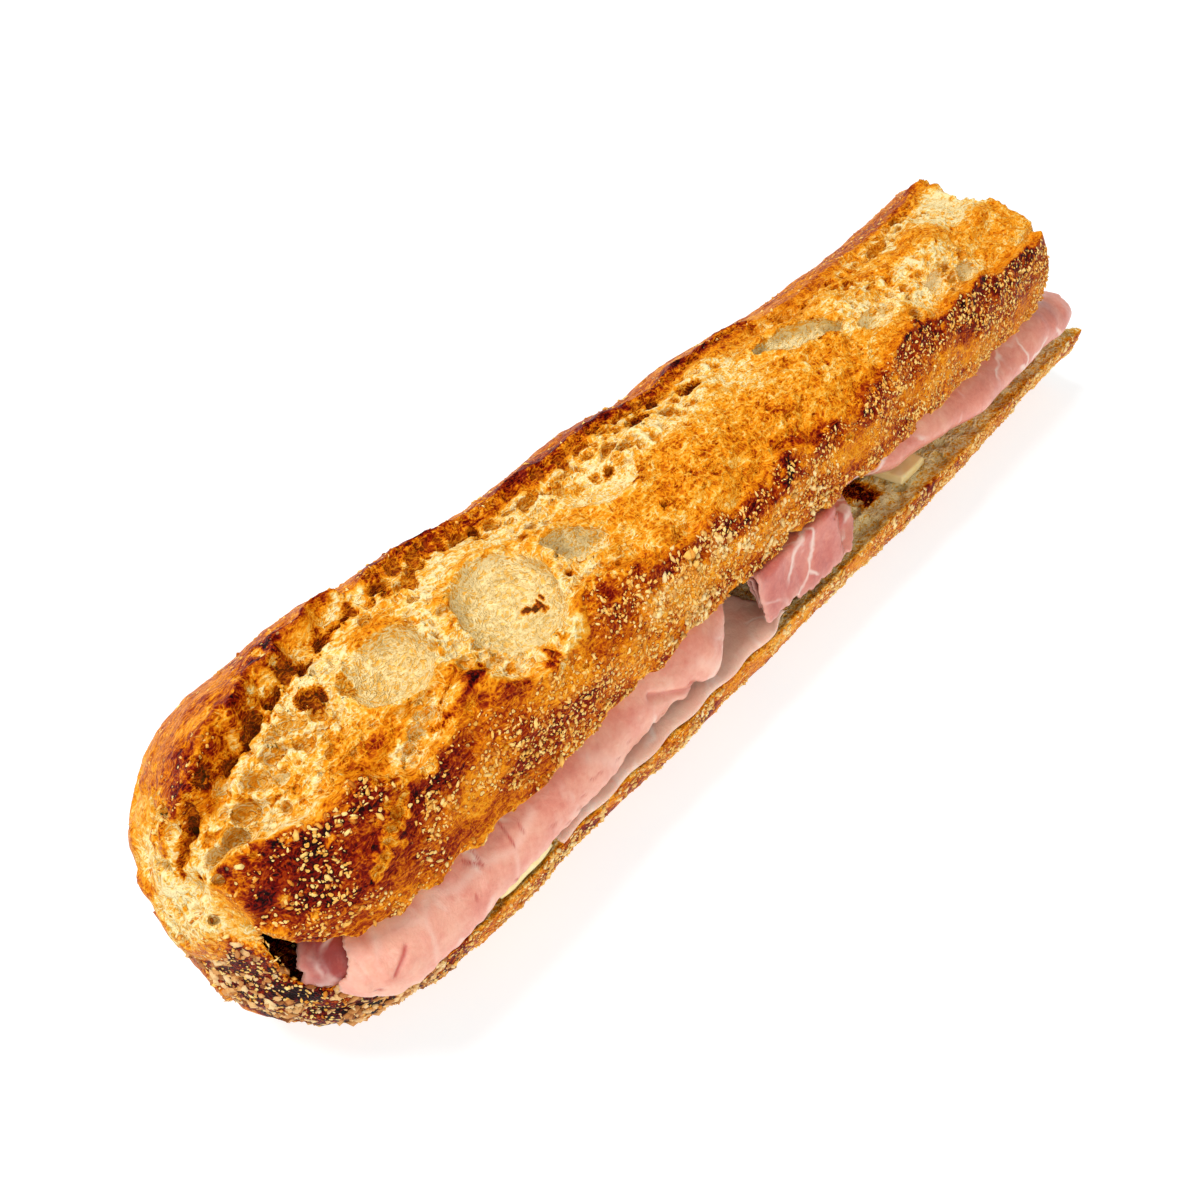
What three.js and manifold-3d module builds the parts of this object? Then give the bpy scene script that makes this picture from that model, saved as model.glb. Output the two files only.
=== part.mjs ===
// Half a baguette, slit along one long side and filled with folded slices of
// cooked ham and slabs of butter. Millimetres, +Z up, standing on z = 0.
// +X runs along the loaf from its rounded heel to the cut end, the slit opens
// towards -Y and the uncut hinge of crust lies towards +Y.
import * as THREE from 'three';
import { mergeVertices } from 'three/addons/utils/BufferGeometryUtils.js';
import Module from 'manifold-3d';

const wasm = await Module();
wasm.setup();

// ---------------------------------------------------------------- dimensions
const HEEL_X = -135;            // tip of the rounded heel
const CUT_X = 135;              // furthest point of the cut end
const AXIS_Y = 1, AXIS_Z = 27;  // the line that the section's radii start from
const HEEL_ROUND = 30;          // length over which the heel rounds off
const HEEL_POWER = 2.25;        // how blunt it is
const HEEL_SHIFT_Y = 3.5, HEEL_DROP_Z = 5;
// Radii of the loaf's section every 15 degrees, counted from +Y towards +Z: a
// flat sole, a fuller lower half and an upper half set back over the slit.
const SECTION = [30.0, 30.3, 31.2, 31.6, 31.6, 31.5, 31.6, 31.3, 30.4, 29.0, 27.1, 26.2,
  28.6, 31.7, 33.5, 33.1, 30.7, 28.2, 27.0, 28.5, 31.4, 32.8, 32.5, 31.0];
// How far the back edge and the lower front rim swell or shrink along the loaf.
const BACK_SWELL = [[-135, 2], [-118, 2.6], [-103, 2.5], [-90, 3.2], [-77, 2], [-63, 1], [-48, -0.6],
  [-21, 1.2], [-4, -1], [8, 0.2], [29, -0.2], [50, -1.7], [64, -0.9], [94, 0.3], [127, 1.9]];
const RIM_SWELL = [[-135, 0.6], [-118, -0.9], [-102, -0.3], [-90, 0.6], [-64, 0], [-16, 0.1],
  [32, 0.1], [58, 0.8], [91, 0], [110, -0.6], [129, -1.3]];
// The opened score along the top: the angles of its two crust lips, its depth.
const LIP_BACK = [[-135, 93], [-128, 92], [-121, 82], [-110, 77], [-93, 66], [-85, 60], [-66, 54],
  [-40, 58], [21, 61], [40, 65], [71, 62], [104, 56], [135, 54]];
const LIP_FRONT = [[-135, 103], [-125, 106], [-106, 114], [-98, 123], [-87, 120], [-79, 112], [-68, 124],
  [-60, 117], [-50, 115], [-25, 124], [20, 126], [46, 117], [65, 121], [135, 125]];
const SCORE_DEPTH = [[-135, 3], [-118, 4.5], [-95, 3.6], [-60, 2.6], [-20, 2.2], [40, 2.2], [90, 2.6], [135, 2.2]];
const LIP_RISE = 1.3;
// Blisters that opened into bowls: [x, angle, half length, half width, depth].
const BOWLS = [[-87, 93, 9, 8, 4.2], [-63, 98, 11.5, 11, 4.6], [-46, 96, 10, 5, 2.6],
  [-35, 84, 9, 8, 2.2], [29, 87, 12, 6, 3.6], [77, 112, 7, 5, 2.4]];
// The slit.
const SLIT_START = -128, HINGE_Y = 24.5, HINGE_Z = 25.2;
const FLOOR_Z = 19.2, FLOOR_MID_Y = -8, FLOOR_BOW = 2.3;
const CUT_EDGE_Y = -24;
const CUT_EDGE_Z = [[-135, 45], [-127.5, 43], [-124.3, 39.4], [-119, 36.3], [-112, 34.5], [-67, 34.6],
  [-45, 37], [48, 37.8], [85, 37], [108, 39], [135, 40]];
const SHEET = 2.2;              // a folded slice of ham, with the air between its leaves pressed out
const GAP = 0.45;               // clearance between neighbouring pieces

// ------------------------------------------------------------------- helpers
const RAD = Math.PI / 180;
const clamp = (v, a, b) => Math.min(b, Math.max(a, v));
const smooth = (t) => { const c = clamp(t, 0, 1); return c * c * (3 - 2 * c); };
const mix = (a, b, t) => a + (b - a) * t;
function along(table, x) {
  if (x <= table[0][0]) return table[0][1];
  for (let i = 1; i < table.length; i++) {
    if (x <= table[i][0]) {
      const t = (x - table[i - 1][0]) / (table[i][0] - table[i - 1][0]);
      return mix(table[i - 1][1], table[i][1], smooth(t));
    }
  }
  return table[table.length - 1][1];
}
const turn = (a) => ((a + 180) % 360 + 360) % 360 - 180;
const bell = (a, centre, width) => Math.exp(-((turn(a - centre) / width) ** 2));
const range = (n, f) => Array.from({ length: n }, (_, i) => f(i));

// ------------------------------------------------------------------ the loaf
function sectionRadius(deg) {
  const n = SECTION.length, u = ((deg % 360) + 360) % 360 / 360 * n, i = Math.floor(u), f = u - i;
  const [a, b, c, d] = [-1, 0, 1, 2].map((k) => SECTION[(i + k + n) % n]);
  return 0.5 * (2 * b + (c - a) * f + (2 * a - 5 * b + 4 * c - d) * f * f + (3 * b - a - 3 * c + d) * f ** 3);
}
function heel(x) {
  const u = clamp((x - HEEL_X) / HEEL_ROUND, 0, 1);
  return Math.max(0, 1 - (1 - u) ** HEEL_POWER) ** (1 / HEEL_POWER);
}
function axis(x) {
  const s = (1 - clamp((x - HEEL_X) / 40, 0, 1)) ** 2;
  return [AXIS_Y + HEEL_SHIFT_Y * s, AXIS_Z - HEEL_DROP_Z * s];
}
// The relief of the upper crust: the score with its two lips, and the bowls.
function relief(x, deg) {
  if (deg < 40 || deg > 140) return 0;
  const lb = along(LIP_BACK, x), lf = along(LIP_FRONT, x);
  const inside = smooth((deg - lb) / 8) * smooth((lf - deg) / 8);
  let h = -along(SCORE_DEPTH, x) * inside * (0.75 + 0.25 * Math.cos((deg - (lb + lf) / 2) * 4 * RAD));
  h += LIP_RISE * (bell(deg, lb - 2, 4) + bell(deg, lf + 2, 4));
  for (const [bx, bd, rx, ry, depth] of BOWLS) {
    const q = ((x - bx) / rx) ** 2 + ((deg - bd) * 0.55 / ry) ** 2;
    h -= 0.65 * depth * (q < 1 ? (1 - q) : 0);
  }
  return h * smooth((x - HEEL_X - 3) / 22);
}
function loafRadius(x, deg) {
  return (sectionRadius(deg) + along(BACK_SWELL, x) * bell(deg, 28, 40)
    + along(RIM_SWELL, x) * bell(deg, 196, 24)) * heel(x) + relief(x, deg);
}
// The cut end leans: the upper half stops short of the lower one.
const CUT_TOP = [[-30, 108], [-22, 110.5], [-15, 113.5], [-8, 115], [-1, 114], [5, 112], [12, 113], [18, 116],
  [22, 117.5], [32, 118]];
function cutX(y, z) {
  const k = smooth(y / 15), low = mix(24, 28, k), high = mix(34, 50, k);
  return mix(CUT_X, along(CUT_TOP, y), smooth((z - low) / (high - low)));
}
function loafPoint(x, deg, inward = 1) {
  const [yc, zc] = axis(x), r = loafRadius(x, deg) * inward;
  return [yc + r * Math.cos(deg * RAD), Math.max(0, zc + r * Math.sin(deg * RAD))];
}

// A closed solid from rings of equal length, with flat or domed end caps.
function loft(rings, capStart = 'flat', capEnd = 'flat') {
  const n = rings[0].length, pos = [], tri = [];
  rings.forEach((ring) => ring.forEach((p) => pos.push(...p)));
  for (let i = 0; i + 1 < rings.length; i++) {
    for (let j = 0; j < n; j++) {
      const a = i * n + j, b = i * n + (j + 1) % n, c = a + n, d = b + n;
      tri.push(a, b, d, a, d, c);
    }
  }
  const cap = (ring, base, kind, flip) => {
    if (kind === 'fan') {
      const m = ring.reduce((s, p) => [s[0] + p[0] / n, s[1] + p[1] / n, s[2] + p[2] / n], [0, 0, 0]);
      const k = pos.length / 3;
      pos.push(...m);
      for (let j = 0; j < n; j++) {
        const a = base + j, b = base + (j + 1) % n;
        if (flip) tri.push(k, b, a); else tri.push(k, a, b);
      }
      return;
    }
    const flat = ring.map((p) => new THREE.Vector2(p[1], p[2]));
    const clockwise = THREE.ShapeUtils.isClockWise(flat);
    for (const [a, b, c] of THREE.ShapeUtils.triangulateShape(flat, [])) {
      // triangulateShape keeps the ring's own winding
      const t = clockwise === flip ? [a, b, c] : [a, c, b];
      tri.push(base + t[0], base + t[1], base + t[2]);
    }
  };
  cap(rings[0], 0, capStart, true);
  cap(rings[rings.length - 1], (rings.length - 1) * n, capEnd, false);
  return solid(pos, tri);
}
function solid(pos, tri) {
  let g = new THREE.BufferGeometry();
  g.setAttribute('position', new THREE.Float32BufferAttribute(pos, 3));
  g.setIndex(tri);
  g = mergeVertices(g, 1e-5);
  const p = g.attributes.position, kept = [];
  let v = 0;
  const A = new THREE.Vector3(), B = new THREE.Vector3(), C = new THREE.Vector3();
  const idx = g.index.array;
  for (let i = 0; i < idx.length; i += 3) {
    if (idx[i] === idx[i + 1] || idx[i + 1] === idx[i + 2] || idx[i] === idx[i + 2]) continue;
    A.fromBufferAttribute(p, idx[i]); B.fromBufferAttribute(p, idx[i + 1]); C.fromBufferAttribute(p, idx[i + 2]);
    v += A.dot(B.clone().cross(C));
    kept.push(idx[i], idx[i + 1], idx[i + 2]);
  }
  if (v < 0) for (let i = 0; i < kept.length; i += 3) [kept[i + 1], kept[i + 2]] = [kept[i + 2], kept[i + 1]];
  g.setIndex(kept);
  return g;
}
const toManifold = (g) => new wasm.Manifold(new wasm.Mesh({
  numProp: 3,
  vertProperties: new Float32Array(g.attributes.position.array),
  triVerts: new Uint32Array(g.index.array),
}));
function fromManifold(m) {
  const mesh = m.getMesh(), g = new THREE.BufferGeometry();
  g.setAttribute('position', new THREE.BufferAttribute(new Float32Array(mesh.vertProperties), 3));
  g.setIndex(new THREE.BufferAttribute(new Uint32Array(mesh.triVerts), 1));
  return g;
}

// Angles of the section's points: closer together over the scored top.
const ANGLES = [];
for (let a = 0; a < 360; a += (a >= 50 && a < 130) ? 8 : 14.2857) ANGLES.push(a);
// Stations: close together round the heel, then even.
const STATIONS = [0.5, 1.6, 3.4, 6, 9.5, 14, 19, 25].map((d) => HEEL_X + d);
for (let i = 1; i <= 68; i++) STATIONS.push(mix(HEEL_X + 25, CUT_X, i / 68));

function loafSolid() {
  const rings = STATIONS.map((x) => ANGLES.map((a) => {
    const [y, z] = loafPoint(x, a);
    const end = cutX(y, z), k = smooth((x - 60) / 75);
    return [mix(x, HEEL_X + (x - HEEL_X) * (end - HEEL_X) / (CUT_X - HEEL_X), k), y, z];
  }));
  // the cut face, in three shrinking rings
  for (const s of [0.7, 0.35]) {
    rings.push(ANGLES.map((a) => {
      const [y, z] = loafPoint(CUT_X, a, s);
      return [cutX(y, z), y, z];
    }));
  }
  return loft(rings, 'fan', 'fan');
}

const floorZ = (y) => FLOOR_Z + FLOOR_BOW * ((y - FLOOR_MID_Y) / 22) ** 2;
const roofZ = (x, y) => HINGE_Z + (along(CUT_EDGE_Z, x) - HINGE_Z)
  * (clamp(HINGE_Y - y, 0, 60) / (HINGE_Y - CUT_EDGE_Y)) ** 1.5;
// The wedge that opens the loaf: floor, hinge and roof of the slit.
function slitSolid() {
  const ys = [-31, -24, -16, -8, 1, 10, 18];
  const xs = [SLIT_START, -125.5, -122, -118, -113, ...range(30, (i) => -106 + i * 8.4), 145];
  return loft(xs.map((x) => {
    const g = smooth((x - SLIT_START + 5) / 20);
    const hinge = mix(-6, HINGE_Y, g), open = smooth((x - SLIT_START + 8) / 9);
    const ring = [];
    const at = (y) => -31 + (y + 31) * (hinge + 31) / (HINGE_Y + 31);
    const mid = (y) => 0.5 * (floorZ(y) + roofZ(x, y)) + 6 * (1 - g);
    const shut = (y, z) => mix(mid(y), z, open);
    ring.push([x, -50, shut(-31, floorZ(-31))]);
    for (const y of ys) ring.push([x, at(y), shut(at(y), floorZ(at(y)))]);
    ring.push([x, hinge, shut(hinge, HINGE_Z - 0.9)], [x, hinge, shut(hinge, HINGE_Z + 0.1)]);
    for (const y of [...ys].reverse()) ring.push([x, at(y), shut(at(y), roofZ(x, at(y)))]);
    ring.push([x, -50, shut(-31, roofZ(x, -31))]);
    return ring;
  }));
}

// ------------------------------------------------------------- the fillings
// A slice folded along its front edge: two leaves and a rounded nose.
function foldedSlice(stations, shape) {
  return loft(stations.map((x) => {
    const { nose, reach, inner, under } = shape(x);
    const top = (y) => roofZ(x, y) - GAP - 0.2, bottom = (y) => floorZ(y) + under;
    const zt = top(nose), zb = bottom(nose), zc = (zt + zb) / 2, h = (zt - zb) / 2;
    const ring = [], leaf = [0.02, 0.35, 0.7];
    const arc = (n, ry, rz, from, to) => range(n, (i) => {
      const a = mix(from, to, i / (n - 1)) * RAD;
      return [x, nose - ry * Math.cos(a), zc + rz * Math.sin(a)];
    });
    for (const t of leaf) { const y = mix(inner, nose, t); ring.push([x, y, top(y)]); }
    ring.push(...arc(8, reach, h, 90, -90));
    for (const t of [...leaf].reverse()) { const y = mix(inner, nose, t); ring.push([x, y, bottom(y)]); }
    const thin = (y) => Math.min(SHEET, (top(y) - bottom(y)) * 0.4), tn = thin(nose);
    for (const t of leaf) { const y = mix(inner, nose, t); ring.push([x, y, bottom(y) + thin(y)]); }
    ring.push(...arc(5, Math.max(reach - tn, 0.4), h - tn, -90, 90));
    for (const t of [...leaf].reverse()) { const y = mix(inner, nose, t); ring.push([x, y, top(y) - thin(y)]); }
    return ring;
  }));
}
const HAM_LEFT_NOSE = [[-126, -11.5], [-121, -16], [-117.5, -19], [-115.5, -21.5], [-70, -21.5], [-50, -20], [-38, -19.5], [-32, -21.5], [-24, -20.5], [-20, -18]];
const HAM_LEFT_REACH = [[-126, 3], [-121, 3.8], [-117.5, 3.6], [-115.5, 6.2], [-100, 7], [-70, 6.8], [-50, 6], [-38, 5.6], [-32, 6.6], [-24, 6.2], [-20, 3]];
const hamLeft = foldedSlice(
  [-126, -123, -120, -117.5, -115.5, -112, -107, -101, -96.5, -93.5, -88, -82, -76, -70, -64, -58, -52, -46, -40, -35, -31, -27, -23, -20],
  (x) => ({
    nose: along(HAM_LEFT_NOSE, x),
    reach: along(HAM_LEFT_REACH, x),
    inner: mix(-6, 8, smooth((x + 126) / 14)),
    under: mix(GAP, 2.85, smooth((x + 98) / 4)),
  }));

// A solid of leaves between a lower and an upper line, from the front inwards.
function pile(stations, shape, ys = [0, 0.12, 0.4, 0.75, 1]) {
  return loft(stations.map((x) => {
    const { front, back, low, high, lean } = shape(x);
    const ring = [];
    for (const t of [...ys].reverse()) { const y = mix(front, back, t); ring.push([x, y, low(y)]); }
    for (const f of [0.3, 0.65]) ring.push([x, front + lean * f, mix(low(front), high(front + lean), f)]);
    for (const t of ys) { const y = mix(front + lean, back, t); ring.push([x, y, high(y)]); }
    return ring;
  }));
}
const hamUnder = pile(range(15, (i) => mix(-78.5, -8.5, i / 14)), (x) => ({
  front: -29.2 + 0.5 * Math.sin(x * 0.35) + 1.2 * smooth((x + 14) / 6), back: 8, lean: 0.2,
  low: (y) => floorZ(y) + GAP, high: (y) => floorZ(y) + GAP + 1.8,
}));
const hamMid = pile(range(18, (i) => mix(-17, 27, i / 17)), (x) => {
  const tail = smooth((x - 8) / 6);
  return {
    front: -28.6 + 0.5 * Math.sin(x * 0.55) + 3.4 * smooth((x - 17) / 10), back: 7, lean: 5.2,
    low: (y) => floorZ(y) + mix(2.95, GAP, smooth((x + 5.5) / 3)),
    high: (y) => mix(roofZ(x, y) - GAP - 0.3, Math.min(28.4, roofZ(x, y) - GAP - 3.2), tail),
  };
});
const ROLL_Y = [[17, -13.5], [34, -13.5], [46, -15], [62, -17], [80, -18.8], [131, -19.3]];
const ROLL_RY = [[17, 5], [34, 5.5], [46, 6.5], [80, 8.7], [118, 8.4], [131, 6.6]];
const ROLL_LIFT = [[17, 10.6], [30, 9.4], [40, 5], [46, 3], [60, 2.9], [70, 1.4], [131, 1]];
const hamRight = loft([17, 20, 24, 29, 34, 39, 45, 51, 57, 63, 70, 77, 84, 91, 98, 105, 112, 119, 125, 129, 131].map((x) => {
  const yc = along(ROLL_Y, x), ry = along(ROLL_RY, x);
  const low = floorZ(yc - ry * 0.6) + along(ROLL_LIFT, x);
  const high = roofZ(x, yc + ry * 0.55) - GAP - 0.2;
  const zc = (low + high) / 2, rz = Math.max((high - low) / 2, 0.8) * (x > 130 ? 0.8 : 1);
  return range(14, (i) => {
    const a = i / 14 * 2 * Math.PI;
    return [x, yc - ry * Math.cos(a), zc + rz * Math.sin(a) * (1 + 0.05 * Math.cos(2 * a))];
  });
}));
const slab = (x0, x1, front, back, thick) => pile(range(7, (i) => mix(x0, x1, i / 6)), (x) => {
  const e = Math.min(x - x0, x1 - x), round = 1.2 * (1 - smooth(e / 2.5));
  return {
    front: front + round, back: back - round, lean: 0.3,
    low: (y) => floorZ(y) + GAP, high: (y) => floorZ(y) + GAP + thick - 0.3 * (round > 0.6 ? 1 : 0),
  };
}, [0, 0.25, 0.6, 1]);
const butterLeft = slab(-93, -79.2, -28.7, -17, 1.8);
const butterRight = slab(41, 57, -26.2, -15, 1.8);

// ----------------------------------------------------------------- assembly
const bread = fromManifold(toManifold(loafSolid()).subtract(toManifold(slitSolid())));

// The origin is below the middle of the whole, on the table.
const MIDDLE_X = 0.25, MIDDLE_Y = 1.35;
const sandwich = new THREE.Group();
sandwich.position.set(-MIDDLE_X, -MIDDLE_Y, 0);
function add(name, geometry, color, roughness) {
  geometry.computeVertexNormals();
  const mesh = new THREE.Mesh(geometry, new THREE.MeshStandardMaterial({ color, roughness, metalness: 0 }));
  mesh.name = name;
  sandwich.add(mesh);
}
add('bread', bread, 0xc98a35, 0.62);
add('ham_left', hamLeft, 0xe0999a, 0.42);
add('ham_under', hamUnder, 0xe3a5a2, 0.42);
add('ham_middle', hamMid, 0xdb9396, 0.42);
add('ham_right', hamRight, 0xd98b93, 0.42);
add('butter_left', butterLeft, 0xf3e0a0, 0.35);
add('butter_right', butterRight, 0xf3e0a0, 0.35);

export default sandwich;
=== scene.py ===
import bpy
import math
import numpy as np
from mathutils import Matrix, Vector


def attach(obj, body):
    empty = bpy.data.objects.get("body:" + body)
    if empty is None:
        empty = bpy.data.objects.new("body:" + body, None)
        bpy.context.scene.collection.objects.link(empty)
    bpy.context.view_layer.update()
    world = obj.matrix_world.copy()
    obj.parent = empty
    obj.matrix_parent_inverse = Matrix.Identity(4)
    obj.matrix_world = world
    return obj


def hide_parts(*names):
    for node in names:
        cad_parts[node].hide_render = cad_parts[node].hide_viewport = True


# Half a baguette, slit along one side and filled with cooked ham and butter.
# All shapes below are worked out in millimetres in the loaf's own axes, and
# moved into the row frame (metres) when a mesh is made.
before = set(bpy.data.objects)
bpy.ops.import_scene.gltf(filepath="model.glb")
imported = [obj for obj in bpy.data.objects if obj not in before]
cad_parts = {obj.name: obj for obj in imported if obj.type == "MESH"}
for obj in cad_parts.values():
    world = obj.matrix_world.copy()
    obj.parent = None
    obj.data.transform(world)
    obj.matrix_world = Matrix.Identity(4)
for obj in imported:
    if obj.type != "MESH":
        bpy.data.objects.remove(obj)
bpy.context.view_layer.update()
SHIFT = np.array([0.25, 1.35, 0.0])

H = 0.5      # voxel of the bread, mm
K = 0.54                             # mm of crust for each degree of angle


# --------------------------------------------------------------- small tools
def smooth(t):
    t = np.clip(t, 0.0, 1.0)
    return t * t * (3 - 2 * t)


def mix(a, b, t):
    return a + (b - a) * t


def tab(table, x):
    t = np.asarray(table, float)
    x = np.asarray(x, float)
    i = np.clip(np.searchsorted(t[:, 0], x) - 1, 0, len(t) - 2)
    f = smooth((x - t[i, 0]) / (t[i + 1, 0] - t[i, 0]))
    return t[i, 1] + (t[i + 1, 1] - t[i, 1]) * f


def bell(a, c, w):
    return np.exp(-(((a - c + 180) % 360 - 180) / w) ** 2)


def weights(u, m, periodic=False):
    """Cubic B-spline weights of m control values at the places u."""
    i = np.floor(u).astype(int)
    f = u - i
    w = [(1 - f) ** 3 / 6, (3 * f ** 3 - 6 * f ** 2 + 4) / 6, (-3 * f ** 3 + 3 * f ** 2 + 3 * f + 1) / 6, f ** 3 / 6]
    W = np.zeros((len(u), m), np.float32)
    rows = np.arange(len(u))
    for k in range(4):
        j = (i + k - 1) % m if periodic else np.clip(i + k - 1, 0, m - 1)
        np.add.at(W, (rows, j), w[k])
    return W


# ------------------------------------------------------------ the loaf's hull
AXIS_Y, AXIS_Z, HEEL_X, CUT_X = 1.0, 27.0, -135.0, 135.0
SECTION = np.array([30.0, 30.3, 31.2, 31.6, 31.6, 31.5, 31.6, 31.3, 30.4, 29.0, 27.1, 26.2,
                    28.6, 31.7, 33.5, 33.1, 30.7, 28.2, 27.0, 28.5, 31.4, 32.8, 32.5, 31.0])
BACK_SWELL = [[-135, 2], [-118, 2.6], [-103, 2.5], [-90, 3.2], [-77, 2], [-63, 1], [-48, -.6], [-21, 1.2],
              [-4, -1], [8, .2], [29, -.2], [50, -1.7], [64, -.9], [94, .3], [127, 1.9]]
RIM_SWELL = [[-135, .6], [-118, -.9], [-102, -.3], [-90, .6], [-64, 0], [-16, .1], [32, .1], [58, .8],
             [91, 0], [110, -.6], [129, -1.3]]
LIP_BACK = [[-135, 91], [-128, 89], [-121, 81], [-110, 74], [-103, 67.5], [-93, 62], [-85, 58], [-66, 54], [-40, 58],
            [21, 61], [40, 65], [71, 62], [104, 56], [135, 54]]
LIP_FRONT = [[-135, 103], [-125, 106], [-106, 114], [-98, 123], [-87, 120], [-79, 112], [-68, 124],
             [-60, 117], [-50, 115], [-25, 124], [20, 126], [46, 117], [65, 121], [135, 125]]
SCORE_DEPTH = [[-135, 3], [-118, 4.2], [-95, 3.2], [-60, 2.2], [-20, 1.6], [40, 1.6], [90, 2.2], [105, 2.0], [135, 2.0]]
CUT_EDGE_Z = [[-135, 46], [-127.2, 44.5], [-125.7, 41.4], [-124.3, 39.8], [-122.2, 38.4], [-119, 36.5], [-114.2, 34.7], [-108, 34.2], [-67, 34.6], [-45, 37],
              [48, 37.8], [85, 37], [108, 39], [135, 40]]
SLIT_START, HINGE_Y, HINGE_Z = -126.3, 24.5, 25.2
CUT_RIM_Y = [[-127, -11.5], [-125.7, -12.6], [-124.3, -14.5], [-122.2, -16.9], [-119, -19.5], [-114, -21.9], [-111, -22.9], [-105, -24], [135, -24]]


def heel(x):
    u = np.clip((x - HEEL_X) / 30.0, 0, 1)
    return np.maximum(0, 1 - (1 - u) ** 2.25) ** (1 / 2.25)


def axis(x):
    s = (1 - np.clip((x - HEEL_X) / 40.0, 0, 1)) ** 2
    return AXIS_Y + 3.5 * s, AXIS_Z - 5.0 * s


def section(deg):
    n = len(SECTION)
    u = (deg % 360) / 360 * n
    i = np.floor(u).astype(int)
    f = u - i
    a, b, c, d = [SECTION[(i + k + n) % n] for k in (-1, 0, 1, 2)]
    return 0.5 * (2 * b + (c - a) * f + (2 * a - 5 * b + 4 * c - d) * f * f + (3 * b - a - 3 * c + d) * f ** 3)


def floor_z(y):
    return 19.2 + 2.3 * ((y + 8) / 22) ** 2


def rise(x):
    return 5.0 * smooth((-112 - x) / 11)


def hinge_y(x):
    return mix(0.0, HINGE_Y, smooth((x - SLIT_START) / 20))


def roof_z(x, y):
    return HINGE_Z + (tab(CUT_EDGE_Z, x) - HINGE_Z) * (np.clip(HINGE_Y - y, 0, 60) / (HINGE_Y + 24)) ** 1.5


def cut_x(y, z):
    top = tab([[-30, 108], [-22, 110.5], [-15, 113.5], [-8, 115], [-1, 114], [5, 112], [12, 113], [18, 116], [22, 117.5], [32, 118]], y)
    low, high = mix(24, 28, smooth(y / 15)), mix(34, 50, smooth(y / 15))
    return mix(CUT_X, top, smooth((z - low) / (high - low)))


# ------------------------------------------- maps over the crust (x, degrees)
xs = np.arange(-137.0, 137.01, H)
NA = 720
X = xs[:, None] + np.zeros((1, NA))
A = np.arange(NA)[None, :] * 0.5 + np.zeros((len(xs), 1))
nx = len(xs)


def noise(cx, ct, seed):
    """Smooth noise over the crust, about 1 in size, with cells of cx by ct mm."""
    m1, m2 = int((xs[-1] - xs[0]) / cx) + 5, max(4, round(195 / ct))
    g = np.random.default_rng(seed).standard_normal((m1, m2)).astype(np.float32)
    return 2.1 * (weights((xs - xs[0]) / cx + 1.5, m1) @ g @ weights(np.arange(NA) / NA * m2, m2, True).T)


def look(M, x, a):
    """A map's values at the places x (mm), a (degrees)."""
    u = np.clip((x - xs[0]) / H, 0, nx - 1.001)
    i = u.astype(np.int32)
    f = (u - i).astype(np.float32)
    v = (a % 360) / 0.5
    j = v.astype(np.int32)
    g = (v - j).astype(np.float32)
    j %= NA
    k = (j + 1) % NA
    return (M[i, j] * (1 - f) + M[i + 1, j] * f) * (1 - g) + (M[i, k] * (1 - f) + M[i + 1, k] * f) * g


# Hand-made edges are never straight: every drawn line is bent by these.
BEND_X = 0.9 * noise(4, 4, 11) + 0.4 * noise(1.6, 1.6, 12)
BEND_T = 0.9 * noise(4, 4, 13) + 0.4 * noise(1.6, 1.6, 14)
XW, TW = X + BEND_X, A * K + BEND_T


def fibres(seed, long=4.5, short=0.8, swirl=3.0, cell=9.0):
    """Strands that swirl: fine streaky noise looked up at bent places."""
    base = noise(long, short, seed)
    dx, dt = swirl * noise(cell, cell, seed + 1), swirl * noise(cell, cell, seed + 2)
    return look(base, X + dx, A + dt / K)


def line(pts, pad=8.0, bent=1.0):
    """Signed distance (mm) to a line over the crust, positive where the angle is greater, and how far along it."""
    p = np.array(pts, float)
    q = np.stack([p[:, 0], p[:, 1] * K], 1)
    i0 = max(0, int((q[:, 0].min() - pad - xs[0]) / H))
    i1 = min(nx, int((q[:, 0].max() + pad - xs[0]) / H) + 2)
    j0 = max(0, int((q[:, 1].min() - pad) / K / 0.5))
    j1 = min(NA, int((q[:, 1].max() + pad) / K / 0.5) + 2)
    sl = (slice(i0, i1), slice(j0, j1))
    px, pt = mix(X[sl], XW[sl], bent), mix(A[sl] * K, TW[sl], bent)
    best = np.full(px.shape, 1e9)
    side, along = np.ones(px.shape), np.zeros(px.shape)
    total, lens = 0.0, np.hypot(*np.diff(q, axis=0).T)
    for k in range(len(q) - 1):
        a, b = q[k], q[k + 1]
        d = b - a
        t = np.clip(((px - a[0]) * d[0] + (pt - a[1]) * d[1]) / (d @ d), 0, 1)
        ex, et = px - a[0] - t * d[0], pt - a[1] - t * d[1]
        r = ex * ex + et * et
        m = r < best
        best = np.where(m, r, best)
        side = np.where(m, np.sign(d[0] * et - d[1] * ex), side)
        along = np.where(m, (total + t * lens[k]) / lens.sum(), along)
        total += lens[k]
    return sl, np.sqrt(best) * side, along


def ends(along, a=0.08):
    return smooth(along / a) * smooth((1 - along) / a)


def lip(pts, height, outer=5.0, inner=0.8, crust=1, fade=0.08, bent=1.0):
    """A raised edge of crust: it falls slowly on the crust's side and at once on the other."""
    sl, d, t = line(pts, 4 * outer, bent)
    d = d * crust
    D[sl] += height * np.where(d > 0, np.exp(-d / outer), np.exp(-(d / inner) ** 2)) * ends(t, fade)


def stain(pts, tone, width, amount=1.0, grain=0.0, seed=0, one_side=0, fade=0.06):
    """Colours the crust along a line towards a tone of toast."""
    sl, d, t = line(pts, 3 * width + 2)
    k = np.exp(-(d / width) ** 2) * ends(t, fade) * amount
    if one_side:
        k = k * smooth(d * one_side / 1.2 + 0.8)
    if grain:
        k = k * smooth(0.5 + grain * SPECK[seed % 3][sl])
    T[sl] += (tone - T[sl]) * np.clip(k, 0, 1)


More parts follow.
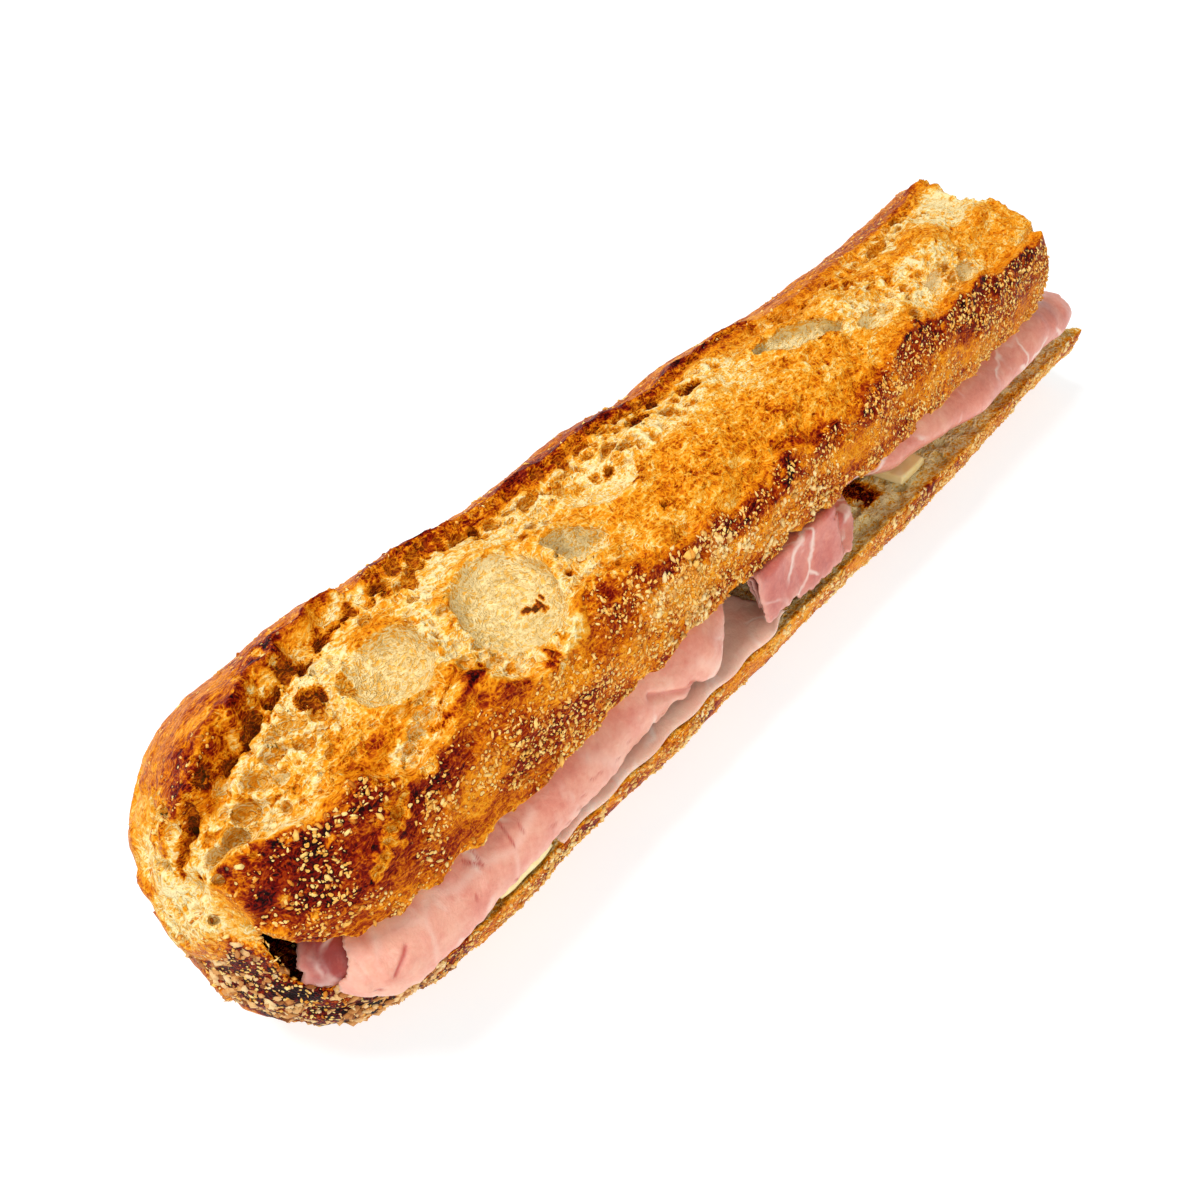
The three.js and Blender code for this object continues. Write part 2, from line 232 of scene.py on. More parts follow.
def spot(x, a, rx, rt, turn=0.0, soft=0.35):
    """A mask of an uneven oval place: 1 inside, 0 outside."""
    c, s = math.cos(math.radians(turn)), math.sin(math.radians(turn))
    dx, dt = XW - x, TW - a * K
    u, v = (dx * c + dt * s) / rx, (-dx * s + dt * c) / rt
    return smooth((1 + soft / 2 - np.sqrt(u * u + v * v)) / soft)


SPECK = [noise(1.1, 1.1, 31), noise(1.8, 1.4, 32), noise(2.6, 1.6, 33)]
FIBRE = fibres(41)
FIBRE2 = fibres(45, 3.0, 0.7, 2.2, 5.0)

R0 = (section(A) + tab(BACK_SWELL, X) * bell(A, 28, 40) + tab(RIM_SWELL, X) * bell(A, 196, 24)) * heel(X)
SLOPE = 1 / np.sqrt(1 + np.gradient(R0, H, axis=0) ** 2)

lb, lf = tab(LIP_BACK, X), tab(LIP_FRONT, X)
AW = TW / K
SCORE = smooth((AW - lb) / 5 + 0.2) * smooth((lf - AW) / 5 + 0.2)          # 1 in the opened score
FRONT = smooth((AW - lf) / 5 + 0.2) * smooth((175 - AW) / 6)              # the crust in front of it
BACK = smooth((lb - AW) / 5 + 0.2) + (A > 300)                             # and behind it
END = smooth((X - HEEL_X - 3) / 14)

# Relief D in mm, toast T from 0 (crumb) through .5 (gold) to 1 (char).
D = 0.45 * noise(26, 16, 1) + 0.22 * noise(9, 7, 2) + 0.09 * noise(3.2, 3, 3) + 0.05 * noise(1.4, 1.4, 4)
T = 0.50 + 0.045 * noise(22, 10, 5) + 0.035 * noise(6, 3.5, 6) + 0.0 * X

# crust behind the score: glossy orange gold; in front: browner by the lip
T += BACK * (0.02 + 0.03 * noise(12, 1.6, 7))
T += FRONT * (0.12 + 0.05 * noise(5, 3, 68) + 0.10 * (1 - smooth((A - lf) / 26)) - 0.03 * smooth((A - 140) / 12))
D += FRONT * 0.10 * noise(1.5, 1.2, 8)
# below the slit: golden brown, dark and rough at the heel
LOW = smooth((A - 172) / 6) * smooth((222 - A) / 8)
T += LOW * (0.03 + 0.07 * noise(5, 3, 66) + 0.04 * noise(2.2, 1.6, 67) + 0.36 * smooth((-98 - X) / 12)) * END
T += (A > 222) * 0.06 * smooth((A - 222) / 20) * smooth((325 - A) / 20)     # the sole bakes browner

# the opened score
D -= tab(SCORE_DEPTH, X) * SCORE * END
skin = 0.35 + 0.055 * noise(8, 5, 51) + 0.035 * noise(4, 2, 58) + 0.035 * FIBRE + 0.02 * FIBRE2
T = mix(T, skin, SCORE)
D += SCORE * (0.13 * FIBRE + 0.07 * FIBRE2 + 0.35 * noise(5, 3.5, 52) + 0.5 * noise(11, 7, 53))

# paler, softer stretches along the back edge
for x, a, rx, rt, turn, tone in [(-22, 73, 22, 5.5, 3, .20), (-62, 69, 15, 5.0, 6, .20), (10, 77, 13, 4.5, 4, .24), (-73, 101, 7, 7, 0, .22), (-100, 91, 9, 6, 30, .20),
                                 (-60, 112, 12, 4.5, 4, .20), (44, 94, 12, 5, 8, .24), (62, 106, 16, 4, 6, .24), (34, 80, 12, 5, 12, .22), (92, 70, 14, 4, -10, .22), (-84, 80, 9, 5, 0, .24)]:
    T = mix(T, tone + 0.05 * FIBRE, spot(x, a, rx, rt, turn, 0.9) * SCORE * 0.9)

# places where the skin of the score browned: [x, degrees, half length, half width, turn, tone]
for x, a, rx, rt, turn, tone in [
        (-4, 105, 24, 9.5, 2, .46), (-26, 107, 12, 9, -20, .47), (26, 106, 14, 7, 0, .46), (6, 116, 26, 6, 0, .47),
        (-99, 108, 11, 5.5, 12, .62), (-108, 108, 6, 4, 20, .50), (-50, 117, 9, 4, 8, .50), (-55, 112, 4, 6, 0, .50),
        (57, 82, 20, 4.5, 10, .44), (88, 88, 18, 5, 12, .48), (108, 104, 9, 8, 0, .46), (98, 116, 12, 4, 0, .42),
        (60, 118, 16, 2.5, 5, .46), (-116, 108, 8, 3.4, 0, .42), (33, 74, 10, 3, 8, .50), (-44, 77, 10, 2.4, 0, .45),
        (84, 74, 18, 4, -8, .46), (-82, 104, 6, 3.4, 30, .44), (18, 66, 14, 2.4, 0, .42)]:
    k = spot(x, a, rx, rt, turn, 0.7) * SCORE
    mott = tone - 0.01 + 0.035 * FIBRE + 0.02 * FIBRE2 + 0.05 * noise(5, 3, 57)
    T = mix(T, mott, k * 0.9)
    D += k * (0.5 + 0.06 * SPECK[0])

# ---- the back ear and the edge of the back crust
EAR = [(-128.4, 90), (-125, 86), (-121, 82), (-116, 78.5), (-110, 74.5), (-103, 68), (-97, 64.5), (-91, 61), (-85, 58), (-81, 57)]
BACK_EDGE = [(-81, 57), (-74, 54), (-68, 52), (-58, 54), (-42, 56), (-27, 57), (-13, 58), (3, 58), (24, 56), (36, 61)]
BACK_EDGE2 = [(36, 61), (43, 68), (52, 70), (62, 70), (77, 66), (100, 58), (119, 50)]
lip(EAR, 2.3, 6.5, 0.7, -1, 0.03)
lip(BACK_EDGE, 1.2, 3.0, 0.7, -1)
lip(BACK_EDGE2, 1.0, 3.0, 0.8, -1)
stain([(-126, 76), (-122, 70), (-116, 66), (-108, 61), (-98, 56)], .60, 3.5, 0.75, 0.8, 2)
stain([(-124, 66), (-116, 58), (-104, 50), (-92, 46)], .57, 5.0, 0.6, 0.6, 1)
stain(EAR, .76, 4.6, 1.0, 0.5, 2, -1, 0.02)
stain(EAR, .86, 2.6, 1.0, 0.5, 0, -1, 0.02)
stain(EAR, .97, 1.2, 1.0, 0.9, 1, -1, 0.02)
stain([(-127.5, 84), (-125, 79), (-121, 75.5), (-116, 72)], .80, 2.6, 0.9, 0.6, 1)
stain([(-104, 66), (-95, 61), (-88, 58)], .99, 1.0, 0.9, 1.2, 0, -1)
stain(BACK_EDGE, .82, 2.4, 1.0, 0, 0, 0)
stain(BACK_EDGE, .93, 1.2, 0.9, 1.3, 1, 0)
stain([(-73, 53), (-68, 51), (-62, 53)], 1.0, 2.0, 1.0, 1.6, 2)
stain([(-78, 56), (-76, 60), (-72, 62)], .86, 1.3, 0.9, 1.0, 1)
stain([(-66, 58), (-60, 60), (-57, 64)], .84, 1.5, 0.9, 1.0, 2)
stain(BACK_EDGE2, .72, 2.6, 0.9, 0.6, 0, 0)
stain([(60, 60), (80, 56), (100, 50), (118, 44)], .60, 3.0, 0.8, 0.8, 2)
stain([(20, 48), (60, 44), (110, 36)], .55, 5.0, 0.8, 0.6, 2)
# the ear's broken left edge lies over pale crumb
EAR_LEFT = [(-121, 40), (-123.5, 56), (-125, 66), (-127, 78), (-128.4, 90)]
sl, d, t = line(EAR_LEFT, 9)
left = smooth(d / 0.8 + 0.5) * smooth((7 - d) / 3) * ends(t, 0.05)
D[sl] -= 1.9 * left
T[sl] = mix(T[sl], 0.22 + 0.04 * SPECK[0][sl], left)

# ---- the front lip, from the heel to the cut end
FRONT_LIP = [(-129, 103), (-126, 106), (-123, 108), (-119, 108), (-114, 108), (-110, 110), (-106, 114), (-103, 119),
             (-101, 123), (-97, 124), (-91, 122), (-87, 120), (-84, 115), (-80, 111), (-76, 112), (-75, 117),
             (-72, 123), (-68, 124), (-65, 124), (-61, 121), (-55, 116), (-49, 115), (-40, 118), (-28, 117)]
lip(FRONT_LIP, 2.0, 5.5, 0.7, 1, 0.03)
lip([(36, 121), (46, 117), (55, 119), (65, 121), (72, 120), (80, 122), (89, 122), (99, 122), (112, 124), (125, 125)], 2.0, 5.0, 0.7, 1, 0.1)
lip([(-18, 130), (-4, 131), (8, 128), (20, 127), (37, 123)], 0.7, 3.0, 1.2, 1, 0.2)
# pale rim that the ear keeps at its broken edge, then the mahogany patch
mahog = spot(-115.5, 123.5, 18, 9.2, 8, 0.4) * smooth((AW - lf) / 2 + 0.3)
T = mix(T, .90 + 0.04 * SPECK[2], mahog * smooth(0.85 + 0.5 * noise(5, 4, 61)))
mahog2 = spot(-112, 133, 14, 6.5, 6, 0.8)
T = mix(T, .77 + 0.05 * SPECK[2], mahog2 * 0.85 * smooth(0.65 + 0.7 * noise(4, 3, 62)))
stain([(-110, 111), (-106, 115), (-103, 120), (-99, 125), (-91, 124), (-87, 122)], .84, 2.6, 1.0, 1.2, 0, 1)
stain([(-128, 104), (-122, 108), (-114, 108), (-108, 111)], .52, 0.7, 0.9, 0, 0)
stain([(-91, 122), (-86, 119), (-83, 114), (-79, 111), (-76, 112), (-76, 118), (-72, 124), (-68, 124), (-61, 122)], .84, 2.0, 1.0, 1.0, 1)
stain([(-86, 116), (-83, 112), (-80, 113), (-77, 112), (-76, 116)], 1.05, 2.4, 1.0, 0.9, 2, 0, 0.2)
stain([(-84, 117), (-85, 123), (-87, 129)], .78, 2.2, 0.9, 1.0, 1, 0, 0.15)
stain([(-61, 120), (-55, 115), (-49, 115), (-40, 118), (-28, 117)], .60, 2.0, 0.9, 1.0, 0)
stain([(-52, 101), (-53, 108), (-55, 112)], .70, 1.3, 0.9, 1.2, 1, 0, 0.2)
for pts, w in [([(-22, 130), (-16, 131), (-11, 129)], 2.4), ([(-8, 131), (-1, 131), (4, 129)], 2.8),
               ([(7, 128), (14, 127), (20, 127)], 2.8), ([(25, 127), (32, 125), (38, 122)], 2.4), ([(2, 121), (10, 122)], 1.4)]:
    stain(pts, .86, w * 1.25, 1.0, 0.5, 2, 0, 0.15)
    stain(pts, 1.0, w * 0.7, 1.0, 1.0, 1, 0, 0.15)
stain([(-30, 124), (0, 124), (40, 120)], .60, 3.5, 0.6, 0.9, 2)
FAR_LIP = [(42, 119), (50, 118), (60, 121), (72, 121), (80, 123), (90, 123), (100, 123), (112, 125)]
stain(FAR_LIP, .80, 4.0, 1.0, 0.5, 2, 1)
stain(FAR_LIP, .92, 2.0, 1.0, 0.9, 0, 1)
stain([(50, 124), (62, 127), (75, 129), (90, 129)], .70, 3.5, 0.8, 1.2, 1)
stain([(104, 128), (110, 134), (112, 142)], .66, 4.5, 0.8, 1.0, 2)
# dark streaks in the middle and on the far side of the score
for pts, tone, w in [([(12, 77), (20, 77), (33, 72), (40, 76), (44, 84)], .64, 1.0), ([(12, 85), (18, 95), (29, 100), (40, 103)], .58, 1.2),
                     ([(-57, 83), (-48, 86), (-42, 90), (-39, 100)], .56, 1.0), ([(-92, 88), (-91, 80), (-86, 78), (-80, 78), (-77, 90)], .60, 1.1),
                     ([(-91, 84), (-92, 78), (-88, 76)], .78, 1.0), ([(-16, 100), (-6, 103), (4, 104)], .60, 1.1), ([(22, 110), (31, 113), (36, 117)], .66, 1.3),
                     ([(54, 76), (66, 82), (80, 88), (96, 94)], .56, 1.6), ([(60, 80), (68, 86)], .70, 1.0), ([(84, 104), (94, 108), (98, 114)], .58, 1.1),
                     ([(-70, 104), (-74, 98), (-72, 90)], .50, 1.0), ([(46, 108), (54, 112), (62, 116)], .52, 1.2)]:
    stain(pts, tone, w, 0.85, 0.8, 1, 0, 0.15)

# pale, floury stretches of the front crust
for x, a, rx, rt, tone in [(-36, 136, 12, 4, .30), (-66, 132, 9, 3, .36), (-88, 140, 8, 3.4, .38), (-28, 142, 18, 3, .36), (20, 142, 16, 3, .38), (60, 143, 22, 3, .38), (-6, 137, 8, 2.5, .37)]:
    T = mix(T, tone + 0.04 * SPECK[2], 0.75 * spot(x, a, rx, rt, 4, 0.9))

# ---- the torn place between the ears and the heel: pale crumb, then the flour-crusted band below it
FLAP_EDGE = [(-127.6, 95), (-127.2, 107), (-126.2, 113), (-125.9, 123), (-125.6, 133), (-124.2, 139)]
flap_x = np.interp(A, [60, 92, 95, 107, 113, 123, 133, 139, 150], [-131, -128.6, -127.6, -127.2, -126.2, -125.9, -125.6, -124.2, -122]) + 0.5 * BEND_X
band_x = np.interp(A, [60, 95, 105, 118, 124, 137, 149], [-134.5, -132.6, -131.4, -129.8, -128.9, -127.4, -125.8]) + 0.5 * BEND_X
TORN = smooth((flap_x - X) / 0.8 + 0.5) * smooth((X - band_x) / 1.2 + 0.5) * smooth((A - 88) / 8) * smooth((143 - A) / 4)
D -= 1.6 * TORN
T = mix(T, 0.16, TORN)
k = np.exp(-((X - flap_x - 0.6) / 1.1) ** 2) * smooth((A - 98) / 6) * smooth((146 - A) / 8)
D += 1.2 * k
T = mix(T, .50, 0.8 * np.exp(-((X - flap_x - 0.2) / 0.6) ** 2) * smooth((A - 98) / 6) * smooth((146 - A) / 8))
BAND = smooth((A - np.interp(X, [-135, -131, -129, -127.4, -126, -123.5, -118], [152, 139, 127, 139, 151, 168, 174])) / 4) * smooth((224 - A) / 8) * smooth((-96 - X) / 12) * (A > 110)
T = mix(T, .87 + 0.06 * SPECK[2], BAND * smooth((X + 134.5) / 2))
D += BAND * 0.25 * noise(2.2, 1.8, 64)
tip = smooth((-126 - X) / 4) * (1 - TORN) * (1 - BAND) * smooth((A - 40) / 8) * smooth((160 - A) / 8) * (X < band_x + 1)
T = mix(T, .43 + 0.03 * SPECK[1], tip)
D -= 3.0 * np.exp(-((X + 132) / 5) ** 2) * bell(A, 152, 26)

# ---- the far end: smooth pale crumb behind a ridge of browned skin
D += 1.1 * np.exp(-((X - 112) / 5) ** 2) * bell(A, 115, 6) - 1.7 * np.exp(-((X - 114) / 4) ** 2) * bell(A, 127, 6) - 1.7 * np.exp(-((X - 108) / 8) ** 2) * bell(A, 100, 10) + 1.4 * np.exp(-((X - 114) / 8) ** 2) * bell(A, 60, 8)
k = spot(101, 74, 13, 6.8, -14, 0.35) * SCORE
T = mix(T, 0.08, k)
D -= 0.9 * k
stain([(74, 82), (86, 89), (97, 96), (110, 102)], .50, 1.6, 0.9, 0.5, 1, 0, 0.1)
lip([(74, 82), (86, 89), (97, 96), (110, 102)], 0.9, 3.0, 0.8, 1, 0.1)

# ---- bowls: blisters that opened. The rim is raised, the floor pale.
holes = []          # x, degrees, depth below the crust, half sizes (along, across, deep), turn, tone


def bowl(x, a, rx, rt, deep, turn=0.0, sink=0.0, rim=0.7, rim_tone=.5, floor=.10, rim_width=1.1):
    c, s = math.cos(math.radians(turn)), math.sin(math.radians(turn))
    dx, dt = X + 0.6 * BEND_X - x, A * K + 0.6 * BEND_T - a * K
    u, v = dx * c + dt * s, -dx * s + dt * c
    q = np.sqrt((u / rx) ** 2 + (v / rt) ** 2)
    e = (q - 1) * min(rx, rt)
    D[:] += 1.25 * rim * np.exp(-(e / rim_width) ** 2) * (0.8 + 0.3 * SPECK[2])
    k = np.exp(-((e - 0.5) / (rim_width * 1.0)) ** 2)
    T[:] = mix(T, rim_tone + 0.05 * SPECK[1], 0.95 * k)
    holes.append((x, a, sink, rx, rt, deep * 1.45, turn, floor))


bowl(-86, 91, 7.4, 7.6, 4.0, 0, 0.3, 1.0, .40, .115)
bowl(-63, 98, 10.0, 10.6, 4.2, 0, 0.2, 0.8, .30, .09)
bowl(-46.5, 97, 7.6, 3.8, 2.2, 32, 0.3, 0.9, .42, .08)
bowl(-32.5, 84, 8.6, 5.0, 2.0, 24, 0.0, 0.3, .32, .11, 1.6)
bowl(31, 86, 11.8, 4.4, 2.2, 22, 0.3, 0.9, .42, .04)
# thick strands and browned arcs on the rims
for pts, h, w, tone in [([(-93, 84), (-91, 78), (-86, 74), (-81, 75.5), (-78, 83), (-77.6, 92)], 1.3, 1.3, .66),
                        ([(-73, 88), (-71, 82), (-66, 77), (-60, 76), (-55, 81)], 0.7, 1.1, .50), ([(-54, 84), (-52.4, 92), (-51.6, 102), (-52, 112)], 1.0, 1.2, .34),
                        ([(-54, 86), (-48, 85), (-42, 92), (-39.6, 102)], 1.1, 1.1, .48), ([(-52, 101), (-46, 110), (-41, 111)], 0.7, 1.0, .40),
                        ([(-42, 73), (-34, 69.5), (-28, 77), (-21, 85)], 0.5, 1.0, .42), ([(19, 76), (28, 73.5), (38, 78), (43, 86)], 1.0, 1.1, .56),
                        ([(22, 90), (31, 97), (40, 100)], 0.8, 1.1, .44), ([(-73, 104), (-68, 114), (-61, 120), (-55, 121)], 0.5, 1.0, .30),
                        ([(-100, 100), (-108, 101), (-113, 104)], 0.8, 1.2, .52), ([(-94, 108), (-90, 104), (-84, 107)], 0.6, 1.0, .36)]:
    sl, d, t = line(pts, 3 * w + 2)
    D[sl] += h * np.exp(-(d / w) ** 2) * ends(t, 0.12) * (0.8 + 0.3 * SPECK[2][sl])
    stain(pts, tone, w * 1.1, 0.85, 0.0, 0, 0, 0.12)
bowl(84, 112, 4.6, 2.6, 1.9, 10, 0.4, 0.7, .48, .12)
bowl(73, 109, 4.2, 3.2, 1.8, 0, 0.3, 0.5, .42, .12)
bowl(50, 103, 6.0, 2.6, 1.8, 10, 0.3, 0.5, .40, .10)

# small deep holes in the bowls' floors, coloured dark as painted shade
holes += [(-58, 104, 4.5, 1.0, .7, 1.6, 0, .86), (-56.2, 102.2, 4.2, .6, .5, 1.3, 20, .80), (-59.6, 101.6, 4.8, .5, .45, 1.2, 0, .74), (-57.2, 107.6, 4.1, .5, .4, 1.1, 0, .6),
          (28, 84.5, 2.9, 1.4, .9, 1.7, 10, .98), (30.8, 87, 2.9, .9, .65, 1.5, 0, .90), (26, 83, 2.7, .6, .5, 1.2, 0, .80), (-27, 80, 2.2, .9, .6, 1.4, 0, .5), (-30, 78, 2.2, .6, .5, 1.1, 0, .5)]
# explicit holes: x, degrees, half length, half width, depth, turn, tone; the dark tones are painted shade in the pits
for x, a, rl, rt, dp, turn, tone in [
        (-98, 79, 2.0, 1.4, 2.6, 40, .72), (-92, 85, 2.0, 1.7, 2.2, 0, .36), (-99, 86, 1.5, 1.2, 1.8, 0, .22), (-103, 80, 1.8, 1.1, 1.8, 20, .20),
        (-108, 88, 2.2, 1.3, 2.0, 30, .20), (-112.5, 91, 2.0, 1.3, 2.0, 30, .22), (-116.5, 97, 2.2, 1.5, 2.2, 40, .22), (-120, 101.5, 1.9, 1.4, 2.2, 40, .20),
        (-123.6, 103, 2.0, 1.4, 2.0, 50, .20), (-104, 92, 1.4, 1.1, 1.6, 0, .28), (-102, 84, 1.3, 1.1, 1.6, 0, .24), (-106, 82, 1.6, 1.0, 1.8, 30, .26),
        (-58, 105, .8, .6, 2.0, 0, .86), (-57, 103, .6, .5, 1.6, 0, .86), (-59, 103, .5, .4, 1.4, 0, .8), (-71, 88, .5, .5, 1.2, 0, .7),
        (-12, 71, 2.0, 1.3, 2.6, 0, .82), (-21, 80, 2.0, 1.4, 2.0, 0, .34), (-5, 65, 1.2, .9, 1.6, 0, .70), (-7, 77, 1.9, 1.4, 2.0, 0, .40),
        (2, 73, 2.6, 1.4, 3.0, 0, .80), (-15, 74, 1.6, 1.0, 1.6, 0, .36), (-42, 66, 2.2, 1.8, 2.2, 0, .40), (-38, 71, 2.0, 1.7, 2.0, 0, .34), (-51, 81, 1.2, .7, 1.2, 0, .6),
        (-33, 68, 2.6, 1.4, 1.8, 10, .36), (-19, 64, 1.8, .9, 1.6, 0, .46), (-25, 62, 1.8, 1.0, 1.6, 0, .50), (-68, 61, 1.8, 1.2, 2.0, 30, .60), (-72, 66, 1.6, 1.4, 1.8, 0, .34),
        (-76, 60, 1.6, 1.0, 1.8, 0, .66), (27.5, 84, 1.5, 1.0, 3.0, 0, .98), (31, 88, 1.7, 1.0, 2.6, 0, .72), (29, 87, .8, .6, 2.2, 0, .98), (25, 86, .6, .5, 1.6, 0, .9),
        (-26, 94, 1.5, .9, 1.4, 0, .62), (-24, 92, .8, .6, 1.2, 0, .62), (-27, 108, 1.1, .6, 1.4, 0, .78), (-52, 106, .9, .5, 1.2, 0, .74), (-41, 116, .7, .6, 1.0, 0, .7), (-43, 114, .6, .5, 1.0, 0, .7),
        (59, 113, 1.8, 1.4, 1.8, 0, .38), (64, 101, 1.6, 1.3, 1.6, 0, .34), (60, 86, 1.0, .7, 1.4, 0, .62), (56, 80, 1.0, .6, 1.2, 0, .62), (64, 91, .9, .6, 1.2, 0, .66), (52, 78, 1.1, .6, 1.2, 0, .6),
        (78, 69, 2.6, 1.6, 2.2, 0, .36), (91, 66, 2.4, 1.8, 2.4, 0, .38), (79, 105, 1.6, 1.0, 1.6, 0, .40), (87, 104, 1.6, 1.0, 1.6, 0, .42), (78, 111, 1.4, 1.0, 1.8, 0, .4),
        (-90, 115, 2.0, 1.2, 1.4, 20, .18), (-87, 113, 1.6, 1.1, 1.2, 0, .20), (-93, 117, 1.3, .9, 1.2, 0, .26), (-77, 107, 1.4, 1.1, 1.4, 0, .28), (-72, 113, 1.0, .5, 1.2, 40, .34),
        (-101, 129, 1.2, .8, 1.2, 40, .30), (-103, 131.5, 1.1, .7, 1.2, 40, .34), (-104.6, 134, 1.1, .7, 1.2, 40, .30), (-106.2, 136.5, 1.0, .6, 1.1, 40, .34), (-107.6, 138.6, .8, .5, 1.0, 40, .40),
        (-98.6, 121, .8, .6, 1.2, 40, .62), (-61, 133, .8, .5, 1.0, 0, .5), (20, 134, 1.0, .5, 1.0, 20, .3), (-30, 118, .7, .5, 1.0, 0, .6)]:
    big = 1.15 if rl > 0.9 else 1.1
    holes.append((x, a, min(rl, dp) * 0.2, rl * big, rt * big * 1.1, dp * 1.2, turn, tone))
    ring = np.exp(-((np.hypot((X - x) / 1.2, (A - a) * K) - rl * 1.15) / 0.6) ** 2)
    D += 0.35 * ring
    T = mix(T, np.maximum(T, 0.44), 0.6 * ring)

# dark crevices below the raised edges of the crust: carved cells whose dark colour is painted shade
g5 = np.random.default_rng(55)
for pts, off, r, dp, tone, every in [(EAR, 2.4, .75, 2.4, .80, 1.7), (BACK_EDGE, 2.2, .55, 1.5, .70, 2.3), (BACK_EDGE2, 2.2, .5, 1.3, .64, 3.0),
                                     ([(-101, 121), (-97, 122), (-91, 120), (-87, 118), (-84, 113), (-80, 109)], -1.6, .5, 1.2, .66, 2.4)]:
    p = np.array(pts, float) * [1, K]
    d = np.hypot(*np.diff(p, axis=0).T)
    at = np.arange(0.8, d.sum(), every) + g5.uniform(-0.5, 0.5, len(np.arange(0.8, d.sum(), every)))
    cum = np.r_[0, np.cumsum(d)]
    px, pt = np.interp(at, cum, p[:, 0]), np.interp(at, cum, p[:, 1])
    gx, gt = np.interp(at + 1, cum, p[:, 0]) - px, np.interp(at + 1, cum, p[:, 1]) - pt
    for x, t, u, v, q in zip(px, pt, gx, gt, g5.random((len(at), 3))):
        if q[0] < 0.85:
            holes.append((x + 0.4 * (q[1] - 0.5), (t + 0.5 * off + 0.5 * (q[2] - 0.5)) / K, 0.3, r * (1.0 + 1.6 * q[1]), r * (0.8 + 0.5 * q[2]), dp, math.degrees(math.atan2(v, u)), tone - 0.2 * q[0]))

# open crumb: cells scattered along lines: points, half width, how many, radii, tones; the darker tones are painted
# shade inside the cells
RNG = np.random.default_rng(77)
OPEN = 0.25 * SCORE                 # how much the crumb shows its cells
for pts, hw, n, r0, r1, t0, t1 in [
        ([(-125, 101), (-119, 98), (-113, 90), (-107, 84), (-102, 78), (-97, 70)], 4.2, 210, .38, 1.05, .06, .15),
        ([(-104, 93), (-98, 88), (-94, 80), (-92, 72)], 3.4, 110, .38, 1.0, .06, .16),
        ([(-84, 62), (-74, 60), (-66, 60), (-56, 62), (-48, 64), (-40, 65), (-30, 66), (-20, 67), (-8, 68), (4, 69), (12, 70)], 2.0, 170, .45, 1.5, .34, .66),
        ([(-50, 78), (-42, 73), (-34, 72), (-20, 80), (-8, 78), (4, 76)], 3.6, 120, .35, 1.2, .14, .40),
        ([(44, 96), (52, 98), (58, 102), (66, 108)], 2.6, 60, .4, 1.3, .16, .34),
        ([(50, 80), (60, 88), (70, 94), (80, 98)], 2.4, 50, .35, 1.0, .2, .5),
        ([(68, 68), (78, 69), (92, 67), (100, 70)], 2.2, 50, .4, 1.4, .2, .45),
        ([(70, 106), (80, 108), (88, 110)], 2.6, 50, .35, 1.1, .16, .4),
        ([(-95, 118), (-90, 115), (-86, 113)], 2.0, 34, .35, .9, .14, .3),
        ([(-77, 106), (-72, 113), (-66, 118), (-60, 118)], 2.8, 46, .3, .9, .14, .24),
        ([(-80, 98), (-77, 88), (-74, 78), (-72, 70)], 2.6, 70, .35, 1.1, .10, .24),
        ([(-50, 98), (-48, 104), (-52, 110)], 2.6, 46, .3, .8, .16, .4),
        ([(-96, 118), (-101, 129), (-108, 140)], .7, 26, .3, .7, .3, .5),
        ([(-118, 104), (-108, 104), (-98, 103)], 3.2, 60, .3, .8, .3, .6),
        ([(-28, 108), (0, 108), (36, 106)], 6.0, 190, .25, .55, .5, .75),
        ([(-126, 74), (-128, 84), (-131, 96), (-131, 108), (-131, 120)], 3.0, 100, .45, 1.4, .09, .20),
        ([(94, 78), (104, 80), (112, 84)], 4.0, 40, .3, .9, .12, .26),
        ([(-120, 95), (-60, 92), (0, 90), (60, 92), (110, 90)], 12, 420, .22, .5, .3, .6)]:
    if hw < 5:
        sl, d, t = line(pts, 3 * hw + 2)
        OPEN[sl] = np.maximum(OPEN[sl], np.exp(-(d / (hw * 1.3)) ** 2))
    p = np.array(pts, float)
    t = RNG.uniform(0, len(p) - 1.001, 2 * n)
    i = t.astype(int)
    base = p[i] + (p[i + 1] - p[i]) * (t - i)[:, None]
    spread = np.stack([base[:, 0], base[:, 1] * K], 1) + RNG.normal(0, hw * 0.7, (2 * n, 2))
    r = r0 * (r1 / r0) ** (RNG.random(2 * n) ** 1.3)
    kept = []
    for c, rr, u, tt in sorted(zip(spread.tolist(), r, RNG.random((2 * n, 4)).tolist(), RNG.uniform(t0, t1, 2 * n)), key=lambda v: -v[1]):
        if all((c[0] - q[0]) ** 2 + (c[1] - q[1]) ** 2 > (1.05 * (rr + w) + 0.30) ** 2 for q, w in kept):
            kept.append((c, rr))
            holes.append((c[0], c[1] / K, rr * (0.0 + 0.4 * u[0]), rr * (1.0 + 0.35 * u[1]), rr * (0.8 + 0.3 * u[2]), rr * 1.4, u[3] * 180, tt))

# crumb is palest where it is open
T = mix(T, np.minimum(T, 0.13), 0.9 * smooth((OPEN - 0.3) / 0.5) * smooth((0.64 - T) / 0.12))
# fine pores and wrinkles everywhere, then the relief fades out on the heel's tip
D += 0.05 * SPECK[0]
D = (D * mix(0.35, 1.0, END)).astype(np.float32)
T = np.clip(T, 0.03, 1.0).astype(np.float32)
R0, SLOPE = R0.astype(np.float32), SLOPE.astype(np.float32)

# ------------------------------------------------------------ the bread field
ys = np.arange(-34.5, 38.0, H)
zs = np.arange(-1.24, 61.0, H)
ny, nz = len(ys), len(zs)


def noise3(cell, seed):
    g = np.random.default_rng(seed).standard_normal([int((v[-1] - v[0]) / cell) + 5 for v in (xs, ys, zs)]).astype(np.float32)
    for k, v in enumerate((xs, ys, zs)):
        g = np.moveaxis(np.tensordot(weights((v - v[0]) / cell + 1.5, g.shape[k]), g, (1, k)), 0, k)
    return (3.0 * g).astype(np.float32)


